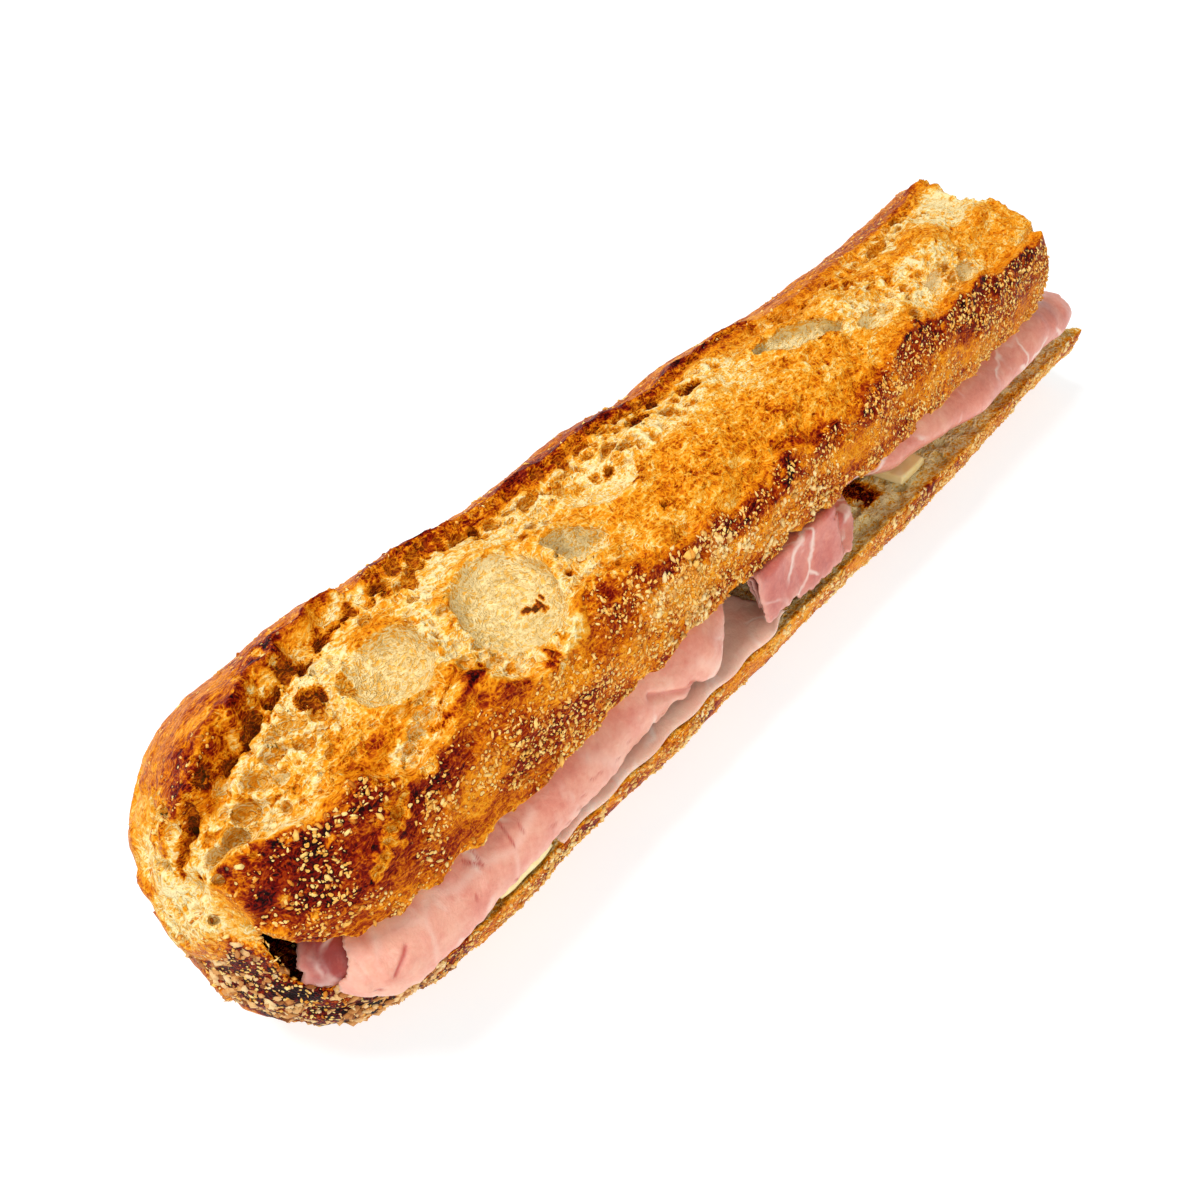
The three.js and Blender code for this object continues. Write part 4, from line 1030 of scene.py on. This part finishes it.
def bits(name, p, n, size, flat, long, seed, material, lift=0.25):
    """Small uneven grains, each half sunk into the crust."""
    g = np.random.default_rng(seed)
    v, f = pebble()
    c = len(p)
    t = np.cross(n, g.standard_normal((c, 3)))
    t /= np.linalg.norm(t, axis=1)[:, None]
    b = np.cross(n, t)
    s = size[0] * (size[1] / size[0]) ** (g.random(c) ** 1.5)
    sx, sy, sz = s * g.uniform(1.0, long, c), s * g.uniform(0.75, 1.0, c), s * g.uniform(flat, 1.0, c)
    local = v[None] * (1 + 0.22 * g.standard_normal((c, len(v), 1)))
    local = np.clip(local, -1.5, 1.5)
    w = (local[..., 0:1] * (sx[:, None] * t)[:, None] + local[..., 1:2] * (sy[:, None] * b)[:, None] + local[..., 2:3] * (sz[:, None] * n)[:, None])
    w = w + p[:, None] + (lift * sz[:, None] * n)[:, None]
    faces = (f[None] + (np.arange(c) * len(v))[:, None, None]).reshape(-1, 3)
    tint = np.repeat(g.random(c), len(v))
    look4 = np.stack([tint, np.repeat(g.random(c), len(v)), tint * 0, tint * 0 + 1], 1)
    print(name, c, "bits", len(faces), "triangles")
    return new_mesh(name, w.reshape(-1, 3), faces, material, {"look": look4})


def grain_material(name, stops):
    m = Nodes(name)
    tint, other, _, _ = m.attr("look")
    t = m.math("ADD", tint, m.math("MULTIPLY_ADD", m.noise(0.7, 2.0, 0.6), 0.5, -0.25))
    m.link(m.ramp(t, stops), m.bsdf.inputs["Base Color"])
    m.set("Roughness", 0.6)
    m.set("Specular IOR Level", 0.15)
    m.link(m.bump(m.noise(0.3, 2.0), 0.4, 0.1), m.bsdf.inputs["Normal"])
    return m.mat


GRAIN_MAT = grain_material("semolina", [(0.0, (184, 96, 18)), (0.25, (226, 144, 42)), (0.6, (250, 190, 90)), (1.0, (255, 222, 140))])
p, nrm, ok = scatter(G, 5)
pick = np.random.default_rng(9).permutation(np.flatnonzero(ok))[:16000]
grains = bits("semolina", p[pick], nrm[pick], (0.17, 0.46), 0.5, 2.2, 6, GRAIN_MAT)
FLAKE_MAT = grain_material("semolina_flakes", [(0.0, (140, 78, 36)), (0.3, (196, 128, 66)), (0.6, (226, 170, 104)), (1.0, (246, 212, 156))])
p, nrm, ok = scatter(HEEL_G, 7)
flakes = bits("semolina_flakes", p[ok], nrm[ok], (0.36, 1.05), 0.22, 1.8, 8, FLAKE_MAT, 0.1)
# floury patches of the front crust and along the lower rim
FLOUR_G = np.maximum(1.5 * spot(-34, 141, 13, 7.5, 0, 0.9), 0.7 * spot(-8, 146, 22, 5, 0, 0.9))
FLOUR_G = np.maximum(FLOUR_G, 0.45 * LOW * smooth((X + 104) / 8)) * smooth(0.55 + 0.6 * noise(4, 3, 73))
p, nrm, ok = scatter(FLOUR_G, 15)
FLOUR_MAT = grain_material("flour_flakes", [(0.0, (206, 140, 58)), (0.4, (238, 188, 104)), (1.0, (255, 228, 166))])
flour = bits("flour_flakes", p[ok], nrm[ok], (0.28, 0.78), 0.3, 2.0, 16, FLOUR_MAT, 0.15)
p, nrm, ok = on_crust(np.array([-72.0, -30.0, -28.7, -31.2, -30.1, -29.0]), np.array([160.0, 128.0, 130.0, 127.0, 131.5, 127.5]))
crumbs = bits("loose_crumbs", p[ok], nrm[ok], (0.85, 1.2), 0.7, 1.3, 18, GRAIN_MAT, 0.5)


# ----------------------------------------------------------------------- ham
def sheet(name, path, x0, x1, step, thick, material, tint, edge0=None, edge1=None, wave=0.25, seed=0, cut=None):
    """A slice of ham. path(x) gives the middle line across the slice as points (y, z);
    edge0/edge1(s) push the two short ends in or out, cut(x) shortens the far end of the path."""
    xn = max(8, int((x1 - x0) / step))
    g = np.random.default_rng(seed)
    u = np.linspace(0, 1, xn + 1)
    grid = np.arange(x0 - 7, x1 + 7, max(step, 0.5))
    raw = [np.asarray(path(x), float) for x in grid]
    length = max(np.hypot(*np.diff(r, axis=0).T).sum() for r in raw)
    sn = max(8, int(length / step))
    s = np.linspace(0, 1, sn + 1)
    YZ = np.zeros((len(grid), sn + 1, 2))
    for i, r in enumerate(raw):
        d = np.r_[0, np.cumsum(np.hypot(*np.diff(r, axis=0).T))]
        top = d[-1] * (cut(grid[i]) if cut else 1.0)
        q = s * top
        YZ[i, :, 0], YZ[i, :, 1] = np.interp(q, d, r[:, 0]), np.interp(q, d, r[:, 1])
    for _ in range(3):
        YZ[:, 1:-1] = 0.25 * YZ[:, :-2] + 0.5 * YZ[:, 1:-1] + 0.25 * YZ[:, 2:]
    e0 = edge0(s) if edge0 else 0 * s
    e1 = edge1(s) if edge1 else 0 * s
    C = np.zeros((xn + 1, sn + 1, 3))
    C[:, :, 0] = (x0 + e0)[None, :] + ((x1 + e1) - (x0 + e0))[None, :] * u[:, None]
    for j in range(sn + 1):
        C[:, j, 1], C[:, j, 2] = np.interp(C[:, j, 0], grid, YZ[:, j, 0]), np.interp(C[:, j, 0], grid, YZ[:, j, 1])
    # soft waves and a fine unevenness
    def field(cells):
        m1, m2 = int((x1 - x0) / cells) + 5, int(length / cells) + 5
        w = g.standard_normal((m1, m2))
        return 2.1 * weights(u * (x1 - x0) / cells + 1.5, m1) @ w @ weights(s * length / cells + 1.5, m2).T
    N = np.cross(np.gradient(C, axis=0), np.gradient(C, axis=1))
    N /= np.linalg.norm(N, axis=2)[..., None] + 1e-9
    C = C + N * (wave * (0.6 * field(9) + 0.25 * field(3.2) + 0.08 * field(1.3)))[..., None]
    N = np.cross(np.gradient(C, axis=0), np.gradient(C, axis=1))
    N /= np.linalg.norm(N, axis=2)[..., None] + 1e-9
    rim = np.minimum(np.minimum(u, 1 - u)[:, None] * (x1 - x0), np.minimum(s, 1 - s)[None, :] * length)
    half = 0.5 * thick * np.sqrt(np.clip(1 - (1 - np.clip(rim / (0.6 * thick), 0, 1)) ** 2, 0.02, 1)) * (1 + 0.12 * field(5))
    A_, B_ = C + N * half[..., None], C - N * half[..., None]
    n1, n2 = xn + 1, sn + 1
    idx = np.arange(n1 * n2).reshape(n1, n2)
    q = np.stack([idx[:-1, :-1], idx[1:, :-1], idx[1:, 1:], idx[:-1, 1:]], -1).reshape(-1, 4)
    back = q[:, ::-1] + n1 * n2
    ring = np.r_[idx[0, :], idx[1:, -1], idx[-1, -2::-1], idx[-2:0:-1, 0]]
    nxt = np.roll(ring, -1)
    side = np.stack([ring, nxt, nxt + n1 * n2, ring + n1 * n2], -1)
    V = np.concatenate([A_.reshape(-1, 3), B_.reshape(-1, 3)])
    faces = np.concatenate([q, back, side])
    edge = np.exp(-rim / 1.2)
    col = np.stack([np.full(rim.shape, tint), edge, np.broadcast_to(s[None, :], rim.shape), np.ones(rim.shape)], -1).reshape(-1, 4)
    return V, faces, np.concatenate([col, col])


def join(name, parts, material):
    V, Fs, cs, base = [], [], [], 0
    for v, f, c in parts:
        V.append(v)
        Fs.append(f + base)
        cs.append(c)
        base += len(v)
    return new_mesh(name, np.concatenate(V), np.concatenate(Fs), material, {"look": np.concatenate(cs)})


def ham_material():
    m = Nodes("ham")
    tint, edge, tear_and_crease_shade, _ = m.attr("look")
    big = m.noise(16, 3.0, 0.55, 0.8, seed=2.2)
    mid = m.noise(4.5, 4.0, 0.6, 0.8, seed=4.4)
    fine = m.noise(0.9, 3.0, 0.6, 0.3, seed=6.6)
    t = m.math("ADD", tint, m.math("MULTIPLY_ADD", big, 0.7, -0.285))
    t = m.math("ADD", t, m.math("MULTIPLY_ADD", mid, 0.44, -0.22))
    t = m.math("ADD", t, m.math("MULTIPLY_ADD", fine, 0.24, -0.12))
    color = m.ramp(t, [(0.0, (250, 210, 184)), (0.35, (242, 176, 150)), (0.55, (228, 144, 122)), (0.75, (206, 108, 92)), (1.0, (166, 62, 54))])
    # veins of fat
    vor = m.nt.nodes.new("ShaderNodeTexVoronoi")
    vor.feature = "DISTANCE_TO_EDGE"
    vor.inputs["Scale"].default_value = 1000 / 17.0
    warp = m.nt.nodes.new("ShaderNodeVectorMath")
    warp.operation = "MULTIPLY_ADD"
    nz3 = m.nt.nodes.new("ShaderNodeTexNoise")
    nz3.inputs["Scale"].default_value = 1000 / 9.0
    nz3.inputs["Detail"].default_value = 3.0
    m.link(m.co, nz3.inputs["Vector"])
    m.link(nz3.outputs["Color"], warp.inputs[0])
    warp.inputs[1].default_value = (0.010, 0.010, 0.010)
    m.link(m.co, warp.inputs[2])
    m.link(warp.outputs[0], vor.inputs["Vector"])
    vein = m.step(vor.outputs["Distance"], 0.0, 0.055, 1.0, 0.0)
    vein = m.math("MULTIPLY", vein, m.step(m.noise(13, 2.0, 0.5, 0.0, seed=8.8), 0.47, 0.60))
    color = m.blend(m.math("MULTIPLY", vein, 0.70), color, srgb(254, 228, 212))
    color = m.blend(m.math("MULTIPLY", edge, 0.45), color, srgb(250, 206, 186))
    # dark red tears, and painted shade along the crease
    color = m.blend(m.math("MULTIPLY", tear_and_crease_shade, 0.85), color, srgb(186, 52, 40))
    m.link(color, m.bsdf.inputs["Base Color"])
    m.link(m.math("MULTIPLY_ADD", fine, 0.25, 0.26), m.bsdf.inputs["Roughness"])
    m.set("Specular IOR Level", 0.45)
    m.set("Subsurface Weight", 0.22)
    m.set("Subsurface Radius", (1.0, 0.35, 0.25))
    m.set("Subsurface Scale", 0.003)
    m.set("Coat Weight", 0.14)
    m.set("Coat Roughness", 0.22)
    h = m.math("ADD", m.math("MULTIPLY", mid, 0.9), m.math("MULTIPLY", fine, 0.35))
    h = m.math("SUBTRACT", h, m.math("MULTIPLY", vein, 0.12))
    m.link(m.bump(h, 0.55, 0.5), m.bsdf.inputs["Normal"])
    return m.mat


HAM_MAT = ham_material()


def rag(seed, amp=0.5, n=600):
    g = np.random.default_rng(seed)
    k = np.arange(n)
    w = sum(a * np.interp(k, np.arange(0, n + st, st), g.standard_normal(len(np.arange(0, n + st, st)))) for a, st in ((1, 60), (.6, 22), (.35, 8), (.2, 3)))
    return lambda s: amp * np.interp(np.asarray(s) * (n - 1), k, w)


EDGE = [[-126, -18.4], [-121.4, -22.3], [-118, -26.0], [-115, -28.4], [-111, -29.3], [-105.7, -29.6], [-100, -29.5], [-93.7, -29.2], [-86, -28.9],
        [-78, -28.4], [-66.7, -27.7], [-52.8, -25.9], [-46, -25.6], [-38, -26.2], [-32, -27.2], [-26, -25.6], [-20, -23.5]]


def under(x):
    return mix(0.5, 2.85, smooth((x + 98) / 4))


def bezier(a, b, c, d, n=18):
    t = np.linspace(0, 1, n)[:, None]
    a, b, c, d = (np.array(v, float) for v in (a, b, c, d))
    return (1 - t) ** 3 * a + 3 * t * (1 - t) ** 2 * b + 3 * t * t * (1 - t) * c + t ** 3 * d


def fold(x, tuck=0.0, gap=1.0, lift=0.0):
    """Middle line of a leaf that comes out below the roof, bends over and hangs down to the rim."""
    e = tab(EDGE, x) + tuck
    k = max(e + 8.0, -20.5 + tuck)
    top, low = roof_z(x, k) - gap, floor_z(e) + rise(x) + under(x) * 0.7 + 0.9 + lift
    pts = [(y, roof_z(x, y) - gap) for y in np.linspace(min(6, hinge_y(x) - 4), k + 0.8, 12)]
    pts += [tuple(v) for v in bezier((k, top), (mix(k, e, 0.62), top - 0.4), (e - 0.35, mix(low, top, 0.55)), (e, low))]
    return pts


left_cut, left_end = rag(101, 0.30), rag(102, 0.35)
parts = []
# outer leaf: bends over the front and ends in a torn lower edge
parts.append(sheet("a", fold, -117.2, -21.5, 0.36, 1.25, None, 0.43,
                   lambda s: -4.4 * smooth((s - 0.66) / 0.34) + left_cut(s),
                   lambda s: 1.0 * np.exp(-((s - 0.66) / 0.1) ** 2) - 9.5 * smooth((s - 0.70) / 0.30) + left_end(s), 0.26, 1,
                   lambda x: 0.985 + 0.007 * math.sin(x * 0.9) + 0.006 * math.sin(x * 2.3 + 1) - 0.03 * math.exp(-((x + 43.5) / 1.2) ** 2) - 0.02 * math.exp(-((x + 50) / 0.9) ** 2)))
# inner leaf: sticks out further at the heel, in shadow; its dark tint is painted shade
parts.append(sheet("b", lambda x: fold(x, 1.7 + 3.0 * smooth((x + 84) / 10), 2.4, -0.6), -124.4, -36, 0.7, 1.2, None, 0.86,
                   lambda s: 2.2 * (1 - smooth((s - 0.55) / 0.2)) - 1.4 * smooth((s - 0.8) / 0.2) + left_cut(s + 0.1), left_end, 0.3, 2))
# lower leaf lying on the filling
parts.append(sheet("c", lambda x: [(y, floor_z(y) + rise(x) + under(x) + 0.7) for y in np.linspace(min(6, hinge_y(x) - 4), tab(EDGE, x) + 3.5 + 3.0 * smooth((x + 84) / 10), 14)],
                   -117, -30, 0.9, 1.2, None, 0.46, left_cut, left_end, 0.2, 3))


def strokes(V, lines_, width):
    """How near each point of a hanging leaf is to the lines drawn on it in (x, z)."""
    out = np.zeros(len(V))
    for pts in lines_:
        for (x0, z0), (x1, z1) in zip(pts, pts[1:]):
            d = np.array([x1 - x0, z1 - z0])
            t = np.clip(((V[:, 0] - x0) * d[0] + (V[:, 2] - z0) * d[1]) / (d @ d), 0, 1)
            r = np.hypot(V[:, 0] - x0 - t * d[0], V[:, 2] - z0 - t * d[1])
            out = np.maximum(out, np.exp(-(r / width) ** 2))
    return out * (V[:, 1] < -14)


V, faces, col = parts[0]
small_cuts = [[(x - 0.6, z + 0.25), (x + 0.6, z - 0.25)] for x, z in [(-46.5, 25.2), (-51.6, 24.2), (-54.5, 23.3), (-58.9, 24.7), (-63.2, 24.5), (-64.8, 22.4), (-71.1, 27.8),
              (-72.9, 26.3), (-66.1, 28.7), (-67.8, 28.8), (-57, 27.5), (-61, 27.2), (-76, 25.8), (-79, 28.4)]]
tears_and_crease_shade = strokes(V, [[(-94, 36.8), (-92.7, 33.8), (-93.2, 31.3), (-95.4, 32.6)], [(-86.8, 36.0), (-86.4, 32.9), (-87, 30.6)], [(-84.1, 31.9), (-84.3, 31.0)],
                    [(-97.1, 29.3), (-97.3, 28.6)], [(-89.8, 26.0), (-89.4, 25.2)]], 0.19)
tears_and_crease_shade = np.maximum(tears_and_crease_shade, strokes(V, [[(-110.8, 30.7), (-112.8, 29.6), (-114.6, 28.6)], [(-117.4, 27.1), (-117.3, 27.0)]], 0.36))
tears_and_crease_shade = np.maximum(tears_and_crease_shade, 0.8 * strokes(V, small_cuts, 0.17))
crease = strokes(V, [[(-48.6, 30.8), (-43.1, 27.7), (-39.8, 25.8), (-38.4, 25.1), (-34.3, 23.6)], [(-38.8, 26.8), (-36.6, 24.9)]], 0.8)
# painted shade: the crease is darkened through the tear colour
tears_and_crease_shade = np.maximum(tears_and_crease_shade, 0.6 * crease ** 2)
veins = strokes(V, [[(-102.9, 32.7), (-99, 31.3), (-93.5, 31.6), (-87.4, 30.3), (-80.7, 31.9)], [(-102.9, 32.7), (-105.9, 31.4), (-108.9, 36.4)], [(-105.9, 31.4), (-108, 24.9)],
                    [(-102.9, 32.7), (-102.3, 30.7)], [(-105.9, 31.4), (-112, 33.4), (-115, 31.7)], [(-87.4, 30.3), (-89.8, 24.9)]], 0.5)
veins = np.maximum(veins, strokes(V, [[(-121, 25.2), (-119.6, 25.0)]], 0.9))
veins = np.maximum(veins, 0.8 * strokes(V, [[(-35.5, 30.4), (-32.3, 27.4), (-31.7, 25.8)], [(-66.6, 31.7), (-63.3, 29.2), (-59.2, 23.3)]], 1.2))
V[:, 1] += 0.22 * tears_and_crease_shade + 0.9 * crease
col[:, 1] = np.maximum(col[:, 1], veins)
col[:, 2] = tears_and_crease_shade
for other in parts[1:]:
    other[2][:, 2] = 0
parts[0] = (V, faces, col)
ham_left = join("ham_slice_left", parts, HAM_MAT)

under_rag = rag(110, 0.4)
parts = [sheet("a", lambda x: [(y, floor_z(y) + 1.4 - 0.9 * smooth((-26.5 - y) / 3)) for y in np.linspace(6, -29.3 + 0.35 * math.sin(x * 0.5) + 1.4 * smooth((x + 14) / 6), 18)],
               -78, -9, 0.6, 1.0, None, 0.17, under_rag, lambda s: -2.6 + 4.2 * smooth((s - 0.6) / 0.4) + under_rag(s), 0.22, 4)]
for other in parts:
    other[2][:, 2] = 0
ham_under = join("ham_slice_under", parts, HAM_MAT)


def slope(x, tuck, gap, front=-28.2):
    tail = smooth((x - 8) / 6)
    low = floor_z(front + tuck) + mix(3.4, 1.0, smooth((x + 5.5) / 3)) + 0.2 + gap
    yt = -24.0 + tuck + 1.0 * tail
    limit = 29.3 - 3.0 * smooth((x - 20) / 10)
    high = min(roof_z(x, yt), mix(99, limit, tail)) - 1.2 - gap
    pts = [(y, min(roof_z(x, y), mix(99, limit, tail)) - 1.2 - gap) for y in np.linspace(5, yt + 1.5, 10)]
    y1 = front + tuck + 3.4 * smooth((x - 17) / 10)
    for t in np.linspace(0, 1, 14):
        pts.append((mix(yt, y1, smooth(t) * 0.65 + 0.35 * t), mix(high, low, t)))
    return pts


mid_rag, mid_rag2 = rag(120, 0.45), rag(121, 0.8)
parts = []
for k, (tuck, gap, x0, x1, tint) in enumerate([(0.0, 0.0, -16.2, 30.5, .66), (1.6, 0.9, -15.2, 32.3, .74), (3.2, 1.8, -14.6, 28.0, .84)]):
    parts.append(sheet("m", lambda x, tuck=tuck, gap=gap: slope(x, tuck, gap), x0, x1, 0.55, 1.1, None, tint,
                       lambda s, k=k: 1.5 * s - 1.0 + mid_rag(s + 0.05 * k), lambda s, k=k: -13.0 * smooth((s - 0.55) / 0.45) - 1.5 * np.exp(-((s - 0.55) / 0.04) ** 2) + mid_rag2(s * 0.9 + 0.04 * k), 0.3, 10 + k,
                       lambda x: 0.985 + 0.008 * math.sin(x * 1.3) + 0.006 * math.sin(x * 2.9)))
for other in parts:
    other[2][:, 2] = 0
ham_middle = join("ham_slice_middle", parts, HAM_MAT)

ROLL_Y = [[17, -13.5], [34, -13.5], [46, -15], [62, -17], [80, -18.8], [131, -19.3]]
ROLL_RY = [[17, 4.6], [34, 5.8], [46, 7.6], [62, 8.0], [80, 8.4], [118, 8.0], [131, 6.2]]
ROLL_LIFT = [[17, 9.6], [30, 7.0], [38, 3.0], [46, 2.2], [60, 1.6], [70, 1.0], [131, 0.8]]
ROLL_TOP = [[17, 99], [96, 37.5], [104, 35.5], [114, 33.0], [122, 31.0], [131, 29.4]]


def roll(x, turns=1.75, scale=1.0):
    yc, ry = tab(ROLL_Y, x), tab(ROLL_RY, x)
    low = floor_z(yc - ry * 0.6) + tab(ROLL_LIFT, x) + 0.6
    high = min(roof_z(x, yc + ry * 0.55) - 1.2, tab(ROLL_TOP, x) if x > 96 else 99)
    zc, rz = (low + high) / 2, max((high - low) / 2, 0.6)
    pts = []
    for t in np.linspace(0, 1, 60):
        a = math.radians(-140 + 360 * turns * t)
        k = scale * (1 - 0.48 * smooth((t - 0.42) / 0.58) - 0.05 * t)
        pts.append((yc - ry * k * math.cos(a), zc + rz * k * math.sin(a)))
    return pts


roll_rag = rag(130, 0.5)
parts = [sheet("r", roll, 18.5, 129.5, 0.6, 1.3, None, 0.50, roll_rag, lambda s: 1.2 * np.cos(s * 11) + roll_rag(s + 0.2) - 2.5 * smooth((s - 0.3) / 0.5), 0.34, 20)]
for other in parts:
    other[2][:, 2] = 0
ham_right = join("ham_roll_right", parts, HAM_MAT)


# --------------------------------------------------------------------- butter
def butter_material():
    m = Nodes("butter")
    tint, edge, _, _ = m.attr("look")
    n1 = m.noise(5.0, 3.0, 0.6, 0.4)
    n2 = m.noise(0.9, 3.0, 0.6, 0.2, seed=2.0)
    t = m.math("ADD", n1, m.math("MULTIPLY_ADD", n2, 0.3, -0.15))
    m.link(m.ramp(t, [(0.25, (246, 212, 136)), (0.5, (250, 224, 158)), (0.75, (253, 236, 184))]), m.bsdf.inputs["Base Color"])
    m.set("Roughness", 0.42)
    m.set("Subsurface Weight", 0.2)
    m.set("Subsurface Radius", (1.0, 0.7, 0.3))
    m.set("Subsurface Scale", 0.002)
    m.link(m.bump(m.math("ADD", n1, m.math("MULTIPLY", n2, 0.4)), 0.4, 0.4), m.bsdf.inputs["Normal"])
    return m.mat


BUTTER_MAT = butter_material()


def slab(name, x0, x1, front, back, thick, seed):
    """A cut slab of butter: rounded and slightly uneven."""
    g = np.random.default_rng(seed)
    n1, n2 = 44, 36
    u, v = np.linspace(-1, 1, n1), np.linspace(-1, 1, n2)
    U, Vv = np.meshgrid(u, v, indexing="ij")
    cx, cy, hx, hy = (x0 + x1) / 2, (front + back) / 2, (x1 - x0) / 2, (back - front) / 2
    def field(cells):
        m1, m2 = int(2 * hx / cells) + 5, int(2 * hy / cells) + 5
        return 2.1 * weights((u + 1) * hx / cells + 1.5, m1) @ g.standard_normal((m1, m2)) @ weights((v + 1) * hy / cells + 1.5, m2).T
    x = cx + hx * U * (1 - 0.03 * Vv ** 2) + 0.25 * field(4)
    y = cy + hy * Vv * (1 - 0.05 * U ** 4) + 0.25 * field(4)
    e = np.minimum((1 - np.abs(U)) * hx, (1 - np.abs(Vv)) * hy)
    cap = np.sqrt(np.clip(1 - (1 - np.clip(e / 1.0, 0, 1)) ** 2, 0, 1))
    base = floor_z(y) + 0.5
    top = base + 0.1 + (thick - 0.1) * cap + 0.10 * field(3) * cap + 0.04 * field(1.2) * cap
    A_ = np.stack([x, y, top], -1)
    B_ = np.stack([x, y, base - 0.2 + 0 * x], -1)
    idx = np.arange(n1 * n2).reshape(n1, n2)
    q = np.stack([idx[:-1, :-1], idx[1:, :-1], idx[1:, 1:], idx[:-1, 1:]], -1).reshape(-1, 4)
    ring = np.r_[idx[0, :], idx[1:, -1], idx[-1, -2::-1], idx[-2:0:-1, 0]]
    nxt = np.roll(ring, -1)
    faces = np.concatenate([q, q[:, ::-1] + n1 * n2, np.stack([ring, nxt, nxt + n1 * n2, ring + n1 * n2], -1)])
    col = np.stack([U * 0 + .5, np.exp(-e), U * 0, U * 0 + 1], -1).reshape(-1, 4)
    return new_mesh(name, np.concatenate([A_.reshape(-1, 3), B_.reshape(-1, 3)]), faces, BUTTER_MAT, {"look": np.concatenate([col, col])})


butter_left = slab("butter_slab_left", -93, -79.2, -28.7, -17, 1.8, 301)
butter_right = slab("butter_slab_right", 43.5, 55, -25.0, -15, 1.7, 302)

# ---------------------------------------------------------------- the frame
for piece, node, slot in [(bread, "bread", "crust"), (ham_left, "ham_left", "ham"), (ham_under, "ham_under", "ham"), (ham_middle, "ham_middle", "ham"),
                          (ham_right, "ham_right", "ham"), (butter_left, "butter_left", "butter"), (butter_right, "butter_right", "butter")]:
    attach(piece, "root")
    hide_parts(node)
for piece in (grains, flakes, flour, crumbs):
    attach(piece, "root")

# ------------------------------------------------------- floor, light, camera
n = Nodes("ground")
g = n.noise(400, 2.0)
n.link(n.ramp(g, [(0.3, (186, 190, 192)), (0.7, (192, 196, 198))]), n.bsdf.inputs["Base Color"])
n.set("Roughness", 0.9)
n.set("Specular IOR Level", 0.0)
n.set("Emission Color", (1, 1, 1, 1))
n.set("Emission Strength", 0.66)
me = bpy.data.meshes.new("ground")
me.from_pydata([(-4, -4, -0.0002), (4, -4, -0.0002), (4, 4, -0.0002), (-4, 4, -0.0002)], [], [(0, 1, 2, 3)])
me.materials.append(n.mat)
ground = bpy.data.objects.new("ground", me)
bpy.context.scene.collection.objects.link(ground)


def area(name, loc, target, size, power, color=(1, 1, 1)):
    d = bpy.data.lights.new(name, "AREA")
    d.shape, d.size, d.energy, d.color = "DISK", size, power, color
    o = bpy.data.objects.new(name, d)
    o.location = loc
    o.rotation_euler = (Vector(target) - Vector(loc)).to_track_quat("-Z", "Y").to_euler()
    bpy.context.scene.collection.objects.link(o)


area("key", (-0.22, 0.30, 0.78), (0, 0, 0.03), 0.34, 5.5)
area("fill", (-0.40, -0.78, 0.50), (0, 0, 0.03), 0.8, 4.6)
world = bpy.data.worlds.new("studio")
world.use_nodes = True
world.node_tree.nodes["Background"].inputs[0].default_value = (1, 1, 1, 1)
world.node_tree.nodes["Background"].inputs[1].default_value = 0.36
bpy.context.scene.world = world
bpy.context.scene.view_settings.view_transform = "Standard"
# light paths kept short: nothing here is glass or a mirror
paths = bpy.context.scene.cycles
paths.max_bounces, paths.diffuse_bounces, paths.glossy_bounces, paths.transmission_bounces = 3, 2, 1, 0
paths.caustics_reflective = paths.caustics_refractive = False

cam = bpy.data.cameras.new("camera")
cam.sensor_width, cam.lens = 36.0, 30.0
cam.clip_start, cam.clip_end = 0.01, 20
cam_o = bpy.data.objects.new("camera", cam)
cam_o.location = (-0.13442, -0.09060, 0.18688)
cam_o.rotation_euler = Vector((0.4757, 0.4323, -0.7660)).to_track_quat("-Z", "Y").to_euler()
bpy.context.scene.collection.objects.link(cam_o)
bpy.context.scene.camera = cam_o
